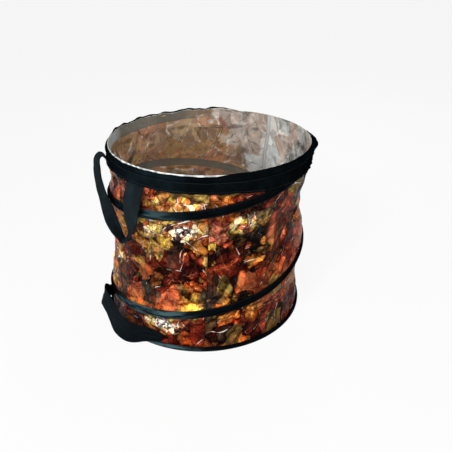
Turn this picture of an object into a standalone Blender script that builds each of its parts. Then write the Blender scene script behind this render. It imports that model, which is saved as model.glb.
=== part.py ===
"""Folding garden basket: a printed vinyl wall that a sewn-in steel coil holds up, with a wire ring at
the rim and at the base, two carry handles and a dump handle. Metres, +Z up. The origin is the centre
of the base's underside. Angles run anticlockwise seen from above, from +X."""

import math

import bmesh
import bpy
from mathutils import Vector

# Overall form
HEIGHT = 0.410
RIM_RADIUS = 0.2290  # outer face of the wall at the mouth
BASE_RADIUS = 0.2335  # outer face of the wall at the floor
LEAN = (0.020, 0.012)  # how far the rim's centre stands from above the base's centre
FACETS = 60  # flat faces round the basket, the same for every ring so that they nest
SHARP_ANGLE = math.radians(35)  # edges sharper than this stay sharp in the shading

# Vinyl wall
WALL_THICKNESS = 0.0008
WALL_ROWS = 14
CINCH = 0.009  # how far the wall draws in midway between two turns of the coil
CINCH_SPAN = 0.150  # turns this far apart give the full cinch
SEAM_FRONT = math.radians(270)
SEAM_BACK = math.radians(48)
SEAM_WIDTH = 0.012
SEAM_THICKNESS = 0.0006

# Base
PANEL_THICKNESS = 0.0015
TAPE_THICKNESS = 0.0009

# Steel wire and the ferrules that close its rings
WIRE_RADIUS = 0.0015
WIRE_SIDES = 8
FERRULE_WALL = 0.0004
FERRULE_FACETS = 1.0
FERRULE_ANGLE = math.radians(120)
WIRE_ENDS_APART = 0.0020

# Coil: height against the angle t that it has wound, t = 0 being its pass over +X in mid height
COIL_PITCH = 0.234
COIL_MIDDLE = 0.178
COIL_TILT = 0.0218  # its plane rises this much towards the back
SLEEVE_WIDTH = 0.020
SLEEVE_FOOT = 0.0045  # half the width of the ridge that the wire lifts
SLEEVE_CREST = 0.0018
SLEEVE_TIP = 0.006  # width of the sleeve where it runs out under the rim band
SLEEVE_SPANS = 5  # spans across the sleeve, with the wire in it or without
MOST_TURNS = 4  # turns each way that are searched for the coil's passes

# Rim band
BAND_HEIGHT = 0.036
BAND_BELOW_EDGE = 0.0015  # the cut edge of the vinyl stands this far above the band
BAND_FOOT = 0.0065
BAND_CREST = 0.0026

# Webbing handles
WEBBING_WIDTH = 0.050
WEBBING_THICKNESS = 0.0018
GRIP_WIDTH = 0.026  # the middle of a carry handle is folded narrower
LEFT_START = math.radians(196.5)  # angle of each handle's back root
RIGHT_START = math.radians(12)
DUMP_START = math.radians(181)
RIGHT_SHARES = (1.0, 0.7)  # the right handle's stand-off and arch, as shares of the left one's
STRAP_STEPS = 3  # sections to each stretch between two places of a strap's route
CARRY_ROOTS = (18, 41)  # sections at which a carry handle leaves its sewn ends
DUMP_ROOTS = (4, 30)

# Clearances
GAP = 0.0003  # between faces that touch on the real basket
WIRE_PLAY = 0.0003  # between the wire and its ferrule or sleeve

FACET_ANGLE = 2 * math.pi / FACETS
BAND_TOP = HEIGHT - BAND_BELOW_EDGE
BAND_LOW = BAND_TOP - BAND_HEIGHT
FERRULE_RADIUS = WIRE_RADIUS + WIRE_PLAY + FERRULE_WALL
WALL_FOOT = PANEL_THICKNESS + GAP
PIPING_LID = WALL_FOOT + 2 * (FERRULE_RADIUS + GAP)
PIPING_TOP = PIPING_LID + TAPE_THICKNESS
COIL_LOW = PIPING_TOP + GAP + SLEEVE_WIDTH / 2
SLEEVE_LIMIT = BAND_LOW - GAP


def centre(z):
    """Middle of the basket at height z; the lean shears it."""
    return Vector((LEAN[0] * z / HEIGHT, LEAN[1] * z / HEIGHT, z))


def facet_direction(index):
    """Unit direction of the corner with this index. Between corners it runs along the flat face."""
    low = math.floor(index)
    ends = [
        Vector((math.cos(k * FACET_ANGLE), math.sin(k * FACET_ANGLE), 0))
        for k in (low, low + 1)
    ]
    return ends[0].lerp(ends[1], index - low)


def place(index, radius, z):
    """Point at this corner index, radius and height."""
    return centre(z) + radius * facet_direction(index)


def wall_line(z):
    """Radius of the wall's outer face where a wire holds it out."""
    return BASE_RADIUS + (RIM_RADIUS - BASE_RADIUS) * z / HEIGHT


def coil_height(t):
    """Height of the coil after winding through t."""
    return COIL_MIDDLE + COIL_PITCH * t / (2 * math.pi) + COIL_TILT * math.sin(t)


def coil_range(low, high):
    """First and last corner index at which the coil lies between two heights."""
    reach = range(-MOST_TURNS * FACETS, MOST_TURNS * FACETS)
    inside = [k for k in reach if low <= coil_height(k * FACET_ANGLE) <= high]
    return inside[0], inside[-1]


def held_heights(index):
    """Heights at which a wire or the band holds the wall out, at this corner index."""
    passes = [
        coil_height(index * FACET_ANGLE + 2 * math.pi * turn)
        for turn in range(-MOST_TURNS, MOST_TURNS + 1)
    ]
    inner = [z for z in passes if COIL_LOW < z < SLEEVE_LIMIT - SLEEVE_FOOT]
    return [PIPING_TOP, *sorted(inner), BAND_LOW]


def wall_radius(index, z):
    """Radius of the wall's outer face. It draws in between the heights where it is held."""
    held = held_heights(index)
    for low, high in zip(held, held[1:]):
        if low < z < high:
            share = min(1, (high - low) / CINCH_SPAN)
            draw = CINCH * share * math.sin(math.pi * (z - low) / (high - low)) ** 2
            return wall_line(z) - draw
    return wall_line(z)


def material(name, colour, roughness, metallic=0.0):
    """A plain Principled material."""
    made = bpy.data.materials.new(name)
    made.use_nodes = True
    shader = made.node_tree.nodes["Principled BSDF"]
    shader.inputs["Base Color"].default_value = (*colour, 1)
    shader.inputs["Roughness"].default_value = roughness
    shader.inputs["Metallic"].default_value = metallic
    made.diffuse_color = (*colour, 1)
    return made


def add_object(name, bm, finish, parent=None):
    """Turns the bmesh into a named object with its faces outward, under its parent empty if it has one."""
    bmesh.ops.recalc_face_normals(bm, faces=bm.faces)
    if bm.calc_volume(signed=True) < 0:
        bmesh.ops.reverse_faces(bm, faces=bm.faces)
    mesh = bpy.data.meshes.new(name)
    if parent is not None:
        bmesh.ops.translate(bm, verts=bm.verts, vec=-parent.location)
    bm.to_mesh(mesh)
    bm.free()
    mesh.materials.append(finish)
    mesh.shade_smooth()
    mesh.set_sharp_from_angle(angle=SHARP_ANGLE)
    made = bpy.data.objects.new(name, mesh)
    bpy.context.scene.collection.objects.link(made)
    made.parent = parent
    return made


def loft(name, sections, finish, closed=False, parent=None):
    """Joins equal loops of points into one skin. It is capped at both ends, or closed on itself."""
    bm = bmesh.new()
    loops = [[bm.verts.new(point) for point in section] for section in sections]
    pairs = list(zip(loops, loops[1:]))
    if closed:
        pairs.append((loops[-1], loops[0]))
    else:
        bm.faces.new(loops[0])
        bm.faces.new(loops[-1])
    for one, other in pairs:
        for k in range(len(one)):
            after = (k + 1) % len(one)
            bm.faces.new((one[k], one[after], other[after], other[k]))
    return add_object(name, bm, finish, parent)


def joint_empty(name, location):
    """An empty on a joint's axis, which carries the piece that moves."""
    made = bpy.data.objects.new(name, None)
    made.location = location
    bpy.context.scene.collection.objects.link(made)
    return made


def wire_section(index, radius, z):
    """Round section of a wire, in the upright plane of its corner."""
    turns = [2 * math.pi * k / WIRE_SIDES for k in range(WIRE_SIDES)]
    return [
        place(index, radius + WIRE_RADIUS * math.cos(a), z + WIRE_RADIUS * math.sin(a))
        for a in turns
    ]


def wire_radius_at(z):
    """Radius at which a sleeved wire lies on the wall."""
    return wall_line(z) + GAP + WIRE_PLAY + WIRE_RADIUS


def ring_with_ferrule(name, radius, z, steel, crimp):
    """A wire bent into a ring whose two ends meet inside a ferrule."""
    middle = FERRULE_ANGLE / FACET_ANGLE + FERRULE_FACETS / 2
    apart = WIRE_ENDS_APART / (2 * radius * FACET_ANGLE)
    first = math.ceil(middle)
    corners = [middle + apart, *range(first, first + FACETS), middle + FACETS - apart]
    loft(f"{name}_ring", [wire_section(k, radius, z) for k in corners], steel)
    ends = middle - FERRULE_FACETS / 2, middle + FERRULE_FACETS / 2
    turns = [2 * math.pi * k / WIRE_SIDES for k in range(WIRE_SIDES)]
    sizes = FERRULE_RADIUS, WIRE_RADIUS + WIRE_PLAY
    sections = []
    for a in turns:
        ways = [(ends[0], sizes[0]), (ends[1], sizes[0])]
        ways += [(ends[1], sizes[1]), (ends[0], sizes[1])]
        sections.append(
            [
                place(k, radius + size * math.cos(a), z + size * math.sin(a))
                for k, size in ways
            ]
        )
    loft(f"{name}_ferrule", sections, crimp, closed=True)


def ring_band(name, profile, finish):
    """A closed ring whose section is a list of (height above the wall's face, z)."""
    sections = [
        [place(k, wall_line(z) + out, z) for out, z in profile] for k in range(FACETS)
    ]
    loft(name, sections, finish, closed=True)


def tape_profile(steps):
    """Outline of a tape that follows steps of (inner height, z), top to bottom."""
    outer = [(out + TAPE_THICKNESS, z) for out, z in reversed(steps)]
    return list(steps) + outer


def make_base(fabric, tape, steel, crimp):
    """Floor panel, the ring that stiffens its edge, and the piping sewn over the ring."""
    ring_out = GAP + FERRULE_RADIUS
    lid_out = ring_out + FERRULE_RADIUS + GAP
    outer = lid_out + TAPE_THICKNESS
    bm = bmesh.new()
    edge = [bm.verts.new(place(k, wall_line(0) + outer, 0)) for k in range(FACETS)]
    floor = bm.faces.new(edge)
    grown = bmesh.ops.extrude_face_region(bm, geom=[floor])
    top = [v for v in grown["geom"] if isinstance(v, bmesh.types.BMVert)]
    bmesh.ops.translate(bm, verts=top, vec=(0, 0, PANEL_THICKNESS))
    add_object("base_panel", bm, fabric)
    profile = [
        (GAP, PIPING_LID),
        (lid_out, PIPING_LID),
        (lid_out, WALL_FOOT),
        (outer, WALL_FOOT),
        (outer, PIPING_TOP),
        (GAP, PIPING_TOP),
    ]
    ring_band("base_piping", profile, tape)
    ring_z = WALL_FOOT + GAP + FERRULE_RADIUS
    ring_with_ferrule("base", wall_line(ring_z) + ring_out, ring_z, steel, crimp)


def make_rim(tape, steel, crimp):
    """Band round the mouth and the wire ring in its upper hem."""
    ring_z = BAND_TOP - BAND_FOOT
    ring_out = GAP + FERRULE_RADIUS
    crest = ring_out + FERRULE_RADIUS + GAP
    steps = [
        (GAP, BAND_TOP),
        (crest, ring_z + BAND_CREST),
        (crest, ring_z - BAND_CREST),
        (GAP, ring_z - BAND_FOOT),
        (GAP, BAND_LOW),
    ]
    ring_band("rim_band", tape_profile(steps), tape)
    ring_with_ferrule("rim", wall_line(ring_z) + ring_out, ring_z, steel, crimp)


def wall_section(index, inner_by, thickness):
    """Upright section of the wall, or of a strip on its inside, at this corner index."""
    rise = (HEIGHT - WALL_FOOT) / WALL_ROWS
    heights = [WALL_FOOT + rise * row for row in range(WALL_ROWS + 1)]
    outer = [place(index, wall_radius(index, z) - inner_by, z) for z in heights]
    inner = [
        place(index, wall_radius(index, z) - inner_by - thickness, z) for z in heights
    ]
    return outer + inner[::-1]


def make_wall(vinyl, clear):
    """Two vinyl panels that meet at two upright seams, and the strip sewn inside each seam."""
    front, back = round(SEAM_FRONT / FACET_ANGLE), round(SEAM_BACK / FACET_ANGLE)
    slit = GAP / (RIM_RADIUS * FACET_ANGLE)
    spans = {
        "wall_panel_wide": (back, front),
        "wall_panel_narrow": (front, back + FACETS),
    }
    for name, (start, end) in spans.items():
        corners = [start + slit, *range(start + 1, end), end - slit]
        sections = [wall_section(k, 0, WALL_THICKNESS) for k in corners]
        loft(name, sections, vinyl)
    half = SEAM_WIDTH / (2 * RIM_RADIUS * FACET_ANGLE)
    inner_by = WALL_THICKNESS + GAP
    for side, middle in (("front", front), ("back", back)):
        corners = (middle - half, middle, middle + half)
        sections = [wall_section(k, inner_by, SEAM_THICKNESS) for k in corners]
        loft(f"seam_strip_{side}", sections, clear)


def sleeve_steps(z, wire_inside):
    """(inner height, offset from the coil) of the sleeve, from its lower edge to its upper one."""
    half = SLEEVE_WIDTH / 2
    top = min(half, SLEEVE_LIMIT - z)
    if not wire_inside:
        step = (top + half) / SLEEVE_SPANS
        return [(GAP, -half + step * k) for k in range(SLEEVE_SPANS + 1)]
    crest = GAP + 2 * (WIRE_RADIUS + WIRE_PLAY) + WIRE_PLAY
    upper_foot = min(SLEEVE_FOOT, (SLEEVE_CREST + top) / 2)
    return [
        (GAP, -half),
        (GAP, -SLEEVE_FOOT),
        (crest, -SLEEVE_CREST),
        (crest, SLEEVE_CREST),
        (GAP, upper_foot),
        (GAP, top),
    ]


def make_coil(tape, steel):
    """The steel helix, and the tape sleeve that holds it on the wall."""
    wire_high = SLEEVE_LIMIT - SLEEVE_CREST - 2 * TAPE_THICKNESS
    sleeve_high = SLEEVE_LIMIT + SLEEVE_WIDTH / 2 - SLEEVE_TIP
    first, wire_last = coil_range(COIL_LOW, wire_high)
    sleeve_last = coil_range(COIL_LOW, sleeve_high)[1]
    sections = []
    for k in range(first, sleeve_last + 1):
        z = coil_height(k * FACET_ANGLE)
        steps = sleeve_steps(z, k <= wire_last)
        inner = [place(k, wall_line(z + n) + out, z + n) for out, n in steps]
        outer = [
            place(k, wall_line(z + n) + out + TAPE_THICKNESS, z + n)
            for out, n in reversed(steps)
        ]
        sections.append(inner + outer)
    loft("coil_sleeve", sections, tape)
    wire = []
    for k in range(first + 1, wire_last):
        z = coil_height(k * FACET_ANGLE)
        wire.append(wire_section(k, wire_radius_at(z), z))
    loft("coil_spring", wire, steel)


def smooth_route(points, steps):
    """Places along a smooth curve through the points, each a tuple of numbers."""
    ends = [points[0], *points, points[-1]]
    places = []
    for step in range(steps * (len(points) - 1) + 1):
        k = min(step // steps, len(points) - 2)
        u = step / steps - k
        before, one, other, after = ends[k : k + 4]
        places.append(
            tuple(
                b + u * (c - a) / 2
                + u * u * (2 * a - 5 * b + 4 * c - d) / 2
                + u * u * u * (3 * b - a - 3 * c + d) / 2
                for a, b, c, d in zip(before, one, other, after)
            )
        )
    return places


def strap_sections(places, roots, along_hinge):
    """Sections of a webbing strap. A place is (angle, stand-off from the wall, z, twist, tip, width):
    twist turns the width from along the wall to square with it, and tip from level to upright. Roots
    are the two steps at the hinge line. There a strap that runs along the line is cut square to it,
    and any other has its width along it."""
    middles = []
    for angle, off, z, _, _, _ in places:
        out = Vector((math.cos(angle), math.sin(angle), 0))
        middles.append(centre(z) + (wall_line(z) + off) * out)
    hinge = (middles[roots[1]] - middles[roots[0]]).normalized()
    sections = []
    for k, (angle, _, _, twist, tip, width) in enumerate(places):
        out = Vector((math.cos(angle), math.sin(angle), 0))
        along = Vector((-math.sin(angle), math.cos(angle), 0))
        level = math.cos(twist) * along + math.sin(twist) * out
        across = math.cos(tip) * level + math.sin(tip) * Vector((0, 0, 1))
        run = (middles[min(k + 1, len(middles) - 1)] - middles[max(k - 1, 0)]).normalized()
        if k in roots and along_hinge:
            run = math.copysign(1, run.dot(hinge)) * hinge
        elif k in roots:
            across = math.copysign(1, across.dot(hinge)) * hinge
            run = (run - run.project(hinge)).normalized()
        across = (across - across.project(run)).normalized()
        face = run.cross(across).normalized() * WEBBING_THICKNESS / 2
        side = across * width / 2
        here = middles[k]
        sections.append(
            [
                here - side - face,
                here + side - face,
                here + side + face,
                here - side + face,
            ]
        )
    return sections


def make_strap(name, route, roots, webbing, along_hinge=False):
    """A strap along its route: two sewn ends that stay put, and the loop between them, which swings
    about the line through the places where it leaves them. Roots are the steps at those places."""
    sections = strap_sections(smooth_route(route, STRAP_STEPS), roots, along_hinge)
    first, last = roots
    loft(f"{name}_root_back", sections[: first + 1], webbing)
    loft(f"{name}_root_front", sections[last:], webbing)
    loop = sections[first : last + 1]
    hinges = [sum(loop[end], Vector()) / 4 for end in (0, -1)]
    for end, inner in ((0, 1), (-1, -2)):
        one, two, _, four = loop[end]
        way = (two - one).cross(four - one).normalized()
        way *= math.copysign(GAP, way.dot(loop[inner][0] - one))
        loop[end] = [corner + way for corner in loop[end]]
    pivot = joint_empty(f"{name}_joint", hinges[0])
    loft(f"{name}_strap", loop, webbing, parent=pivot)
    axis = (hinges[1] - hinges[0]).normalized()
    print(f"{name} pivot {tuple(round(v, 5) for v in hinges[0])} axis", end=" ")
    print(tuple(round(v, 5) for v in axis))


def carry_route(start, stand_off, arch):
    """Route of a carry handle from the angle of its back root, in radians. The shape is the one of the
    handle that shows: stand-off and arch are the shares of its distance from the wall and of the arch
    of its back root that this handle has. Fold goes from flat webbing, 0, to the folded grip, 1."""
    on_wall = GAP + WEBBING_THICKNESS / 2
    top = BAND_LOW - GAP - WEBBING_THICKNESS / 2
    shape = [
        (0.0, 0.000, 0.000, 0, 0.0),
        (0.1, 0.005, -0.006, 0, 0.1),
        (0.3, 0.012, -0.004, 0, 0.4),
        (0.6, 0.018, 0.006, 0, 0.7),
        (1.2, 0.022, 0.016, 0, 1.0),
        (2.4, 0.029, 0.013, 5, 1.0),
        (4.5, 0.028, -0.006, 10, 1.0),
        (8.0, 0.026, -0.036, 40, 1.0),
        (13.0, 0.021, -0.074, 70, 1.0),
        (19.0, 0.018, -0.105, 85, 1.0),
        (25.5, 0.018, -0.121, 95, 1.0),
        (31.0, 0.019, -0.108, 130, 0.8),
        (32.4, 0.016, -0.077, 165, 0.3),
        (32.9, 0.011, -0.038, 178, 0.0),
        (33.0, 0.004, -0.010, 180, 0.0),
        (33.0, 0.000, 0.000, 180, 0.0),
    ]
    return [
        (
            start + math.radians(angle),
            on_wall + off * stand_off,
            top + (rise * arch if rise > 0 else rise),
            math.radians(twist),
            0.0,
            WEBBING_WIDTH + (GRIP_WIDTH - WEBBING_WIDTH) * fold,
        )
        for angle, off, rise, twist, fold in shape
    ]


def dump_route(start):
    """Route of the dump handle from the angle of its back root, in radians. Its two ends are gathered
    and sewn just above the piping. Heights and widths are shares of the webbing's width."""
    on_wall = GAP + WEBBING_THICKNESS / 2
    seam = PIPING_TOP + GAP
    shape = [
        (0, 0.000, 0.20, 0, 90, 0.40),
        (5, 0.005, 0.28, 0, 90, 0.56),
        (10, 0.013, 0.44, -90, 84, 0.80),
        (16, 0.024, 0.74, -90, 74, 1.0),
        (21, 0.025, 0.74, -40, 55, 1.0),
        (27, 0.021, 0.66, 0, 38, 1.0),
        (33, 0.023, 0.50, 0, 50, 1.0),
        (41, 0.031, 0.40, 0, 72, 1.0),
        (49, 0.031, 0.40, 0, 86, 1.0),
        (56, 0.018, 0.44, 0, 90, 0.88),
        (61, 0.005, 0.32, 0, 90, 0.64),
        (65, 0.000, 0.20, 0, 90, 0.40),
    ]
    return [
        (
            start + math.radians(angle),
            on_wall + off,
            seam + rise * WEBBING_WIDTH,
            math.radians(twist),
            math.radians(tip),
            width * WEBBING_WIDTH,
        )
        for angle, off, rise, twist, tip, width in shape
    ]


def build():
    """Clears the scene and makes every piece."""
    for old in list(bpy.data.objects):
        bpy.data.objects.remove(old)
    vinyl = material("printed_vinyl", (0.42, 0.14, 0.04), 0.22)
    clear = material("clear_vinyl", (0.55, 0.50, 0.44), 0.30)
    tape = material("black_tape", (0.012, 0.016, 0.018), 0.65)
    webbing = material("black_webbing", (0.012, 0.017, 0.021), 0.80)
    fabric = material("black_fabric", (0.015, 0.015, 0.016), 0.70)
    steel = material("spring_steel", (0.35, 0.36, 0.38), 0.35, 1.0)
    crimp = material("crimp_brass", (0.60, 0.47, 0.22), 0.40, 1.0)
    make_base(fabric, tape, steel, crimp)
    make_wall(vinyl, clear)
    make_coil(tape, steel)
    make_rim(tape, steel, crimp)
    make_strap("handle_left", carry_route(LEFT_START, 1.0, 1.0), CARRY_ROOTS, webbing)
    make_strap("handle_right", carry_route(RIGHT_START, *RIGHT_SHARES), CARRY_ROOTS, webbing)
    make_strap("dump_handle", dump_route(DUMP_START), DUMP_ROOTS, webbing, along_hinge=True)


build()
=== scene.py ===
import math

import bmesh
import bpy
import numpy as np
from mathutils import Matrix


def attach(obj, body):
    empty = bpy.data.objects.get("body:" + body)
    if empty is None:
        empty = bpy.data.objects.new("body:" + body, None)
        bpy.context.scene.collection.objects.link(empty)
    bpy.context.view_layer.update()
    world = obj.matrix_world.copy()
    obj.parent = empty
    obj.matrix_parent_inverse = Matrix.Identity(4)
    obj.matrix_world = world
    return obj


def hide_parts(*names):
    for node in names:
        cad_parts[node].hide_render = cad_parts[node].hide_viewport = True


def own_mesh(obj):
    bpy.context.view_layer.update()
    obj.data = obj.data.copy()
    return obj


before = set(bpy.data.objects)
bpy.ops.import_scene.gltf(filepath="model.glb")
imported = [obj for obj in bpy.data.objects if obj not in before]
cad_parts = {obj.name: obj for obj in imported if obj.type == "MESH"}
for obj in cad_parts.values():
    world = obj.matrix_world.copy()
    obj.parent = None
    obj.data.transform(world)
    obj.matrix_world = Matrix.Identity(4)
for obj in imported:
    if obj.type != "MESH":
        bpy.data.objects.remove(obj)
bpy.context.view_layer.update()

# Floor panel: a disc of black coated fabric. Its edge is sewn between the wall's foot and the
# piping, and the wire ring in the piping keeps it round and flat.
HEIGHT = 0.410
BASE_RADIUS = 0.2335  # outer face of the wall at the floor
RIM_RADIUS = 0.2290  # and at the mouth
LEAN = np.array((0.020, 0.012))  # how far the mouth's centre stands from above the floor's
TURN = 2 * math.pi
GAP = 0.0003  # between faces that touch on the real basket
PANEL_THICKNESS = 0.0015
PANEL_SAG = 0.0008  # at its middle
PANEL_SPOKES = 240  # points round the panel
TOP_RINGS = 30  # rings of points on its upper side
UNDER_RINGS = 12  # and on its underside
QUILT = 0.0006  # height of its shallow waves
PIPING_OUT = 0.0059  # reach of the piping beyond the wall
MOUTH_WAVE = 0.0022  # how much the mouth rises and falls along the back
LIP_WAVE = 0.0030  # and how much more its edge does, above the wire
RING_HEIGHT = 0.402  # of the wire in the rim band


def noise(x, y, seed, period=None):
    """Smooth chance heights from about -1 to 1 over a plane, one bump to a unit. They repeat
    along x after period units, where it is given."""
    x, y = np.broadcast_arrays(x, y)
    cell_x, cell_y = np.floor(x), np.floor(y)
    in_x, in_y = x - cell_x, y - cell_y

    def corner(i, j):
        column = cell_x + i
        if period:
            column = np.mod(column, period)
        chance = np.sin(column * 127.1 + (cell_y + j) * 311.7 + seed * 74.7) * 43758.5453
        way = (chance - np.floor(chance)) * TURN
        return np.cos(way) * (in_x - i) + np.sin(way) * (in_y - j)

    blend_x = in_x**3 * (in_x * (in_x * 6 - 15) + 10)
    blend_y = in_y**3 * (in_y * (in_y * 6 - 15) + 10)
    low = corner(0, 0) + blend_x * (corner(1, 0) - corner(0, 0))
    high = corner(0, 1) + blend_x * (corner(1, 1) - corner(0, 1))
    return 1.5 * (low + blend_y * (high - low))


def ease(x, start, end):
    """0 up to start and 1 from end on, with a smooth rise between."""
    share = np.clip((x - start) / (end - start), 0, 1)
    return share * share * (3 - 2 * share)


def wall_line(z):
    """Radius of the wall's outer face where a wire holds it out."""
    return BASE_RADIUS + (RIM_RADIUS - BASE_RADIUS) * z / HEIGHT


def place(angle, radius, z):
    """Points at these angles, radii and heights. The basket leans, and its mouth waves at the back."""
    angle, radius, z = np.broadcast_arrays(angle, radius, z)
    turned = np.mod(angle, TURN)
    back = ease(turned, 0.95, 1.35) * ease(turned, 3.25, 2.90)
    rise = MOUTH_WAVE * ease(z, 0.34, HEIGHT) * noise(turned * 3.5, 0.4, 5)
    rise = rise + LIP_WAVE * ease(z, RING_HEIGHT, HEIGHT) * noise(turned * 9, 0.6, 6)
    radius = radius + 0.0020 * back * ease(z, 0.36, 0.39) * noise(turned * 5, 0.2, 7)
    x = LEAN[0] * z / HEIGHT + radius * np.cos(angle)
    y = LEAN[1] * z / HEIGHT + radius * np.sin(angle)
    return np.stack((x, y, z + back * rise), axis=-1)


def skin(name, grid, cloth, finishes, around=True, along=False, kinds=None, marks=None, sharp=50):
    """An object over a grid of points, one row to a section. around closes each section and along
    joins the last one to the first; open rows of closed sections are capped. cloth is each point's
    place on the flat material in metres, with one more row or column where the grid closes. kinds
    is the finish of each column of faces, and marks are named numbers kept with the points."""
    rows, columns = grid.shape[:2]
    i = np.arange(rows if along else rows - 1)[:, None]
    j = np.arange(columns if around else columns - 1)[None, :]
    corners = [(i, j), (i, j + 1), (i + 1, j + 1), (i + 1, j)]
    quads = np.stack([a % rows * columns + b % columns for a, b in corners], axis=-1)
    faces = quads.reshape(-1, 4).tolist()
    flat = [np.stack([cloth[a, b] for a, b in corners], axis=2).reshape(-1, 2)]
    if around and not along:
        faces += [list(range(columns)), [(rows - 1) * columns + k for k in range(columns)][::-1]]
        flat += [cloth[0, :columns], cloth[rows - 1, :columns][::-1]]
    mesh = bpy.data.meshes.new(name)
    mesh.from_pydata(grid.reshape(-1, 3).tolist(), [], faces)
    layer = mesh.uv_layers.new(name="cloth")
    layer.uv.foreach_set("vector", np.concatenate(flat).astype(np.float32).ravel())
    for finish in finishes:
        mesh.materials.append(finish)
    if kinds is not None:
        of_faces = np.zeros(len(faces), dtype=np.int32)
        of_faces[: quads[..., 0].size] = np.tile(kinds, quads.shape[0])
        mesh.polygons.foreach_set("material_index", of_faces)
    for key, numbers in (marks or {}).items():
        mark = mesh.attributes.new(key, "FLOAT", "POINT")
        mark.data.foreach_set("value", numbers.astype(np.float32).ravel())
    bm = bmesh.new()
    bm.from_mesh(mesh)
    bmesh.ops.remove_doubles(bm, verts=bm.verts, dist=1e-6)
    bmesh.ops.recalc_face_normals(bm, faces=bm.faces)
    if bm.calc_volume(signed=True) < 0:
        bmesh.ops.reverse_faces(bm, faces=bm.faces)
    bm.to_mesh(mesh)
    bm.free()
    mesh.shade_smooth()
    mesh.set_sharp_from_angle(angle=math.radians(sharp))
    made = bpy.data.objects.new(name, mesh)
    bpy.context.scene.collection.objects.link(made)
    return made


class Term:
    """One value in a material's maths. Sums, products and powers of it add Math nodes."""

    def __init__(self, recipe, socket):
        self.recipe = recipe
        self.socket = socket

    def maths(self, operation, *values):
        return self.recipe.add("ShaderNodeMath", {"operation": operation}, dict(enumerate(values)))

    def then(self, operation, *others):
        """A Math node on this value, and on others after it."""
        return self.maths(operation, self, *others)

    def also(self, output):
        """Another output of the node that this value comes from."""
        return Term(self.recipe, self.socket.node.outputs[output])

    def __add__(self, other):
        return self.maths("ADD", self, other)

    def __sub__(self, other):
        return self.maths("SUBTRACT", self, other)

    def __rsub__(self, other):
        return self.maths("SUBTRACT", other, self)

    def __mul__(self, other):
        return self.maths("MULTIPLY", self, other)

    def __truediv__(self, other):
        return self.maths("DIVIDE", self, other)

    def __pow__(self, other):
        return self.maths("POWER", self, other)

    def __abs__(self):
        return self.maths("ABSOLUTE", self)

    __radd__ = __add__
    __rmul__ = __mul__


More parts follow.
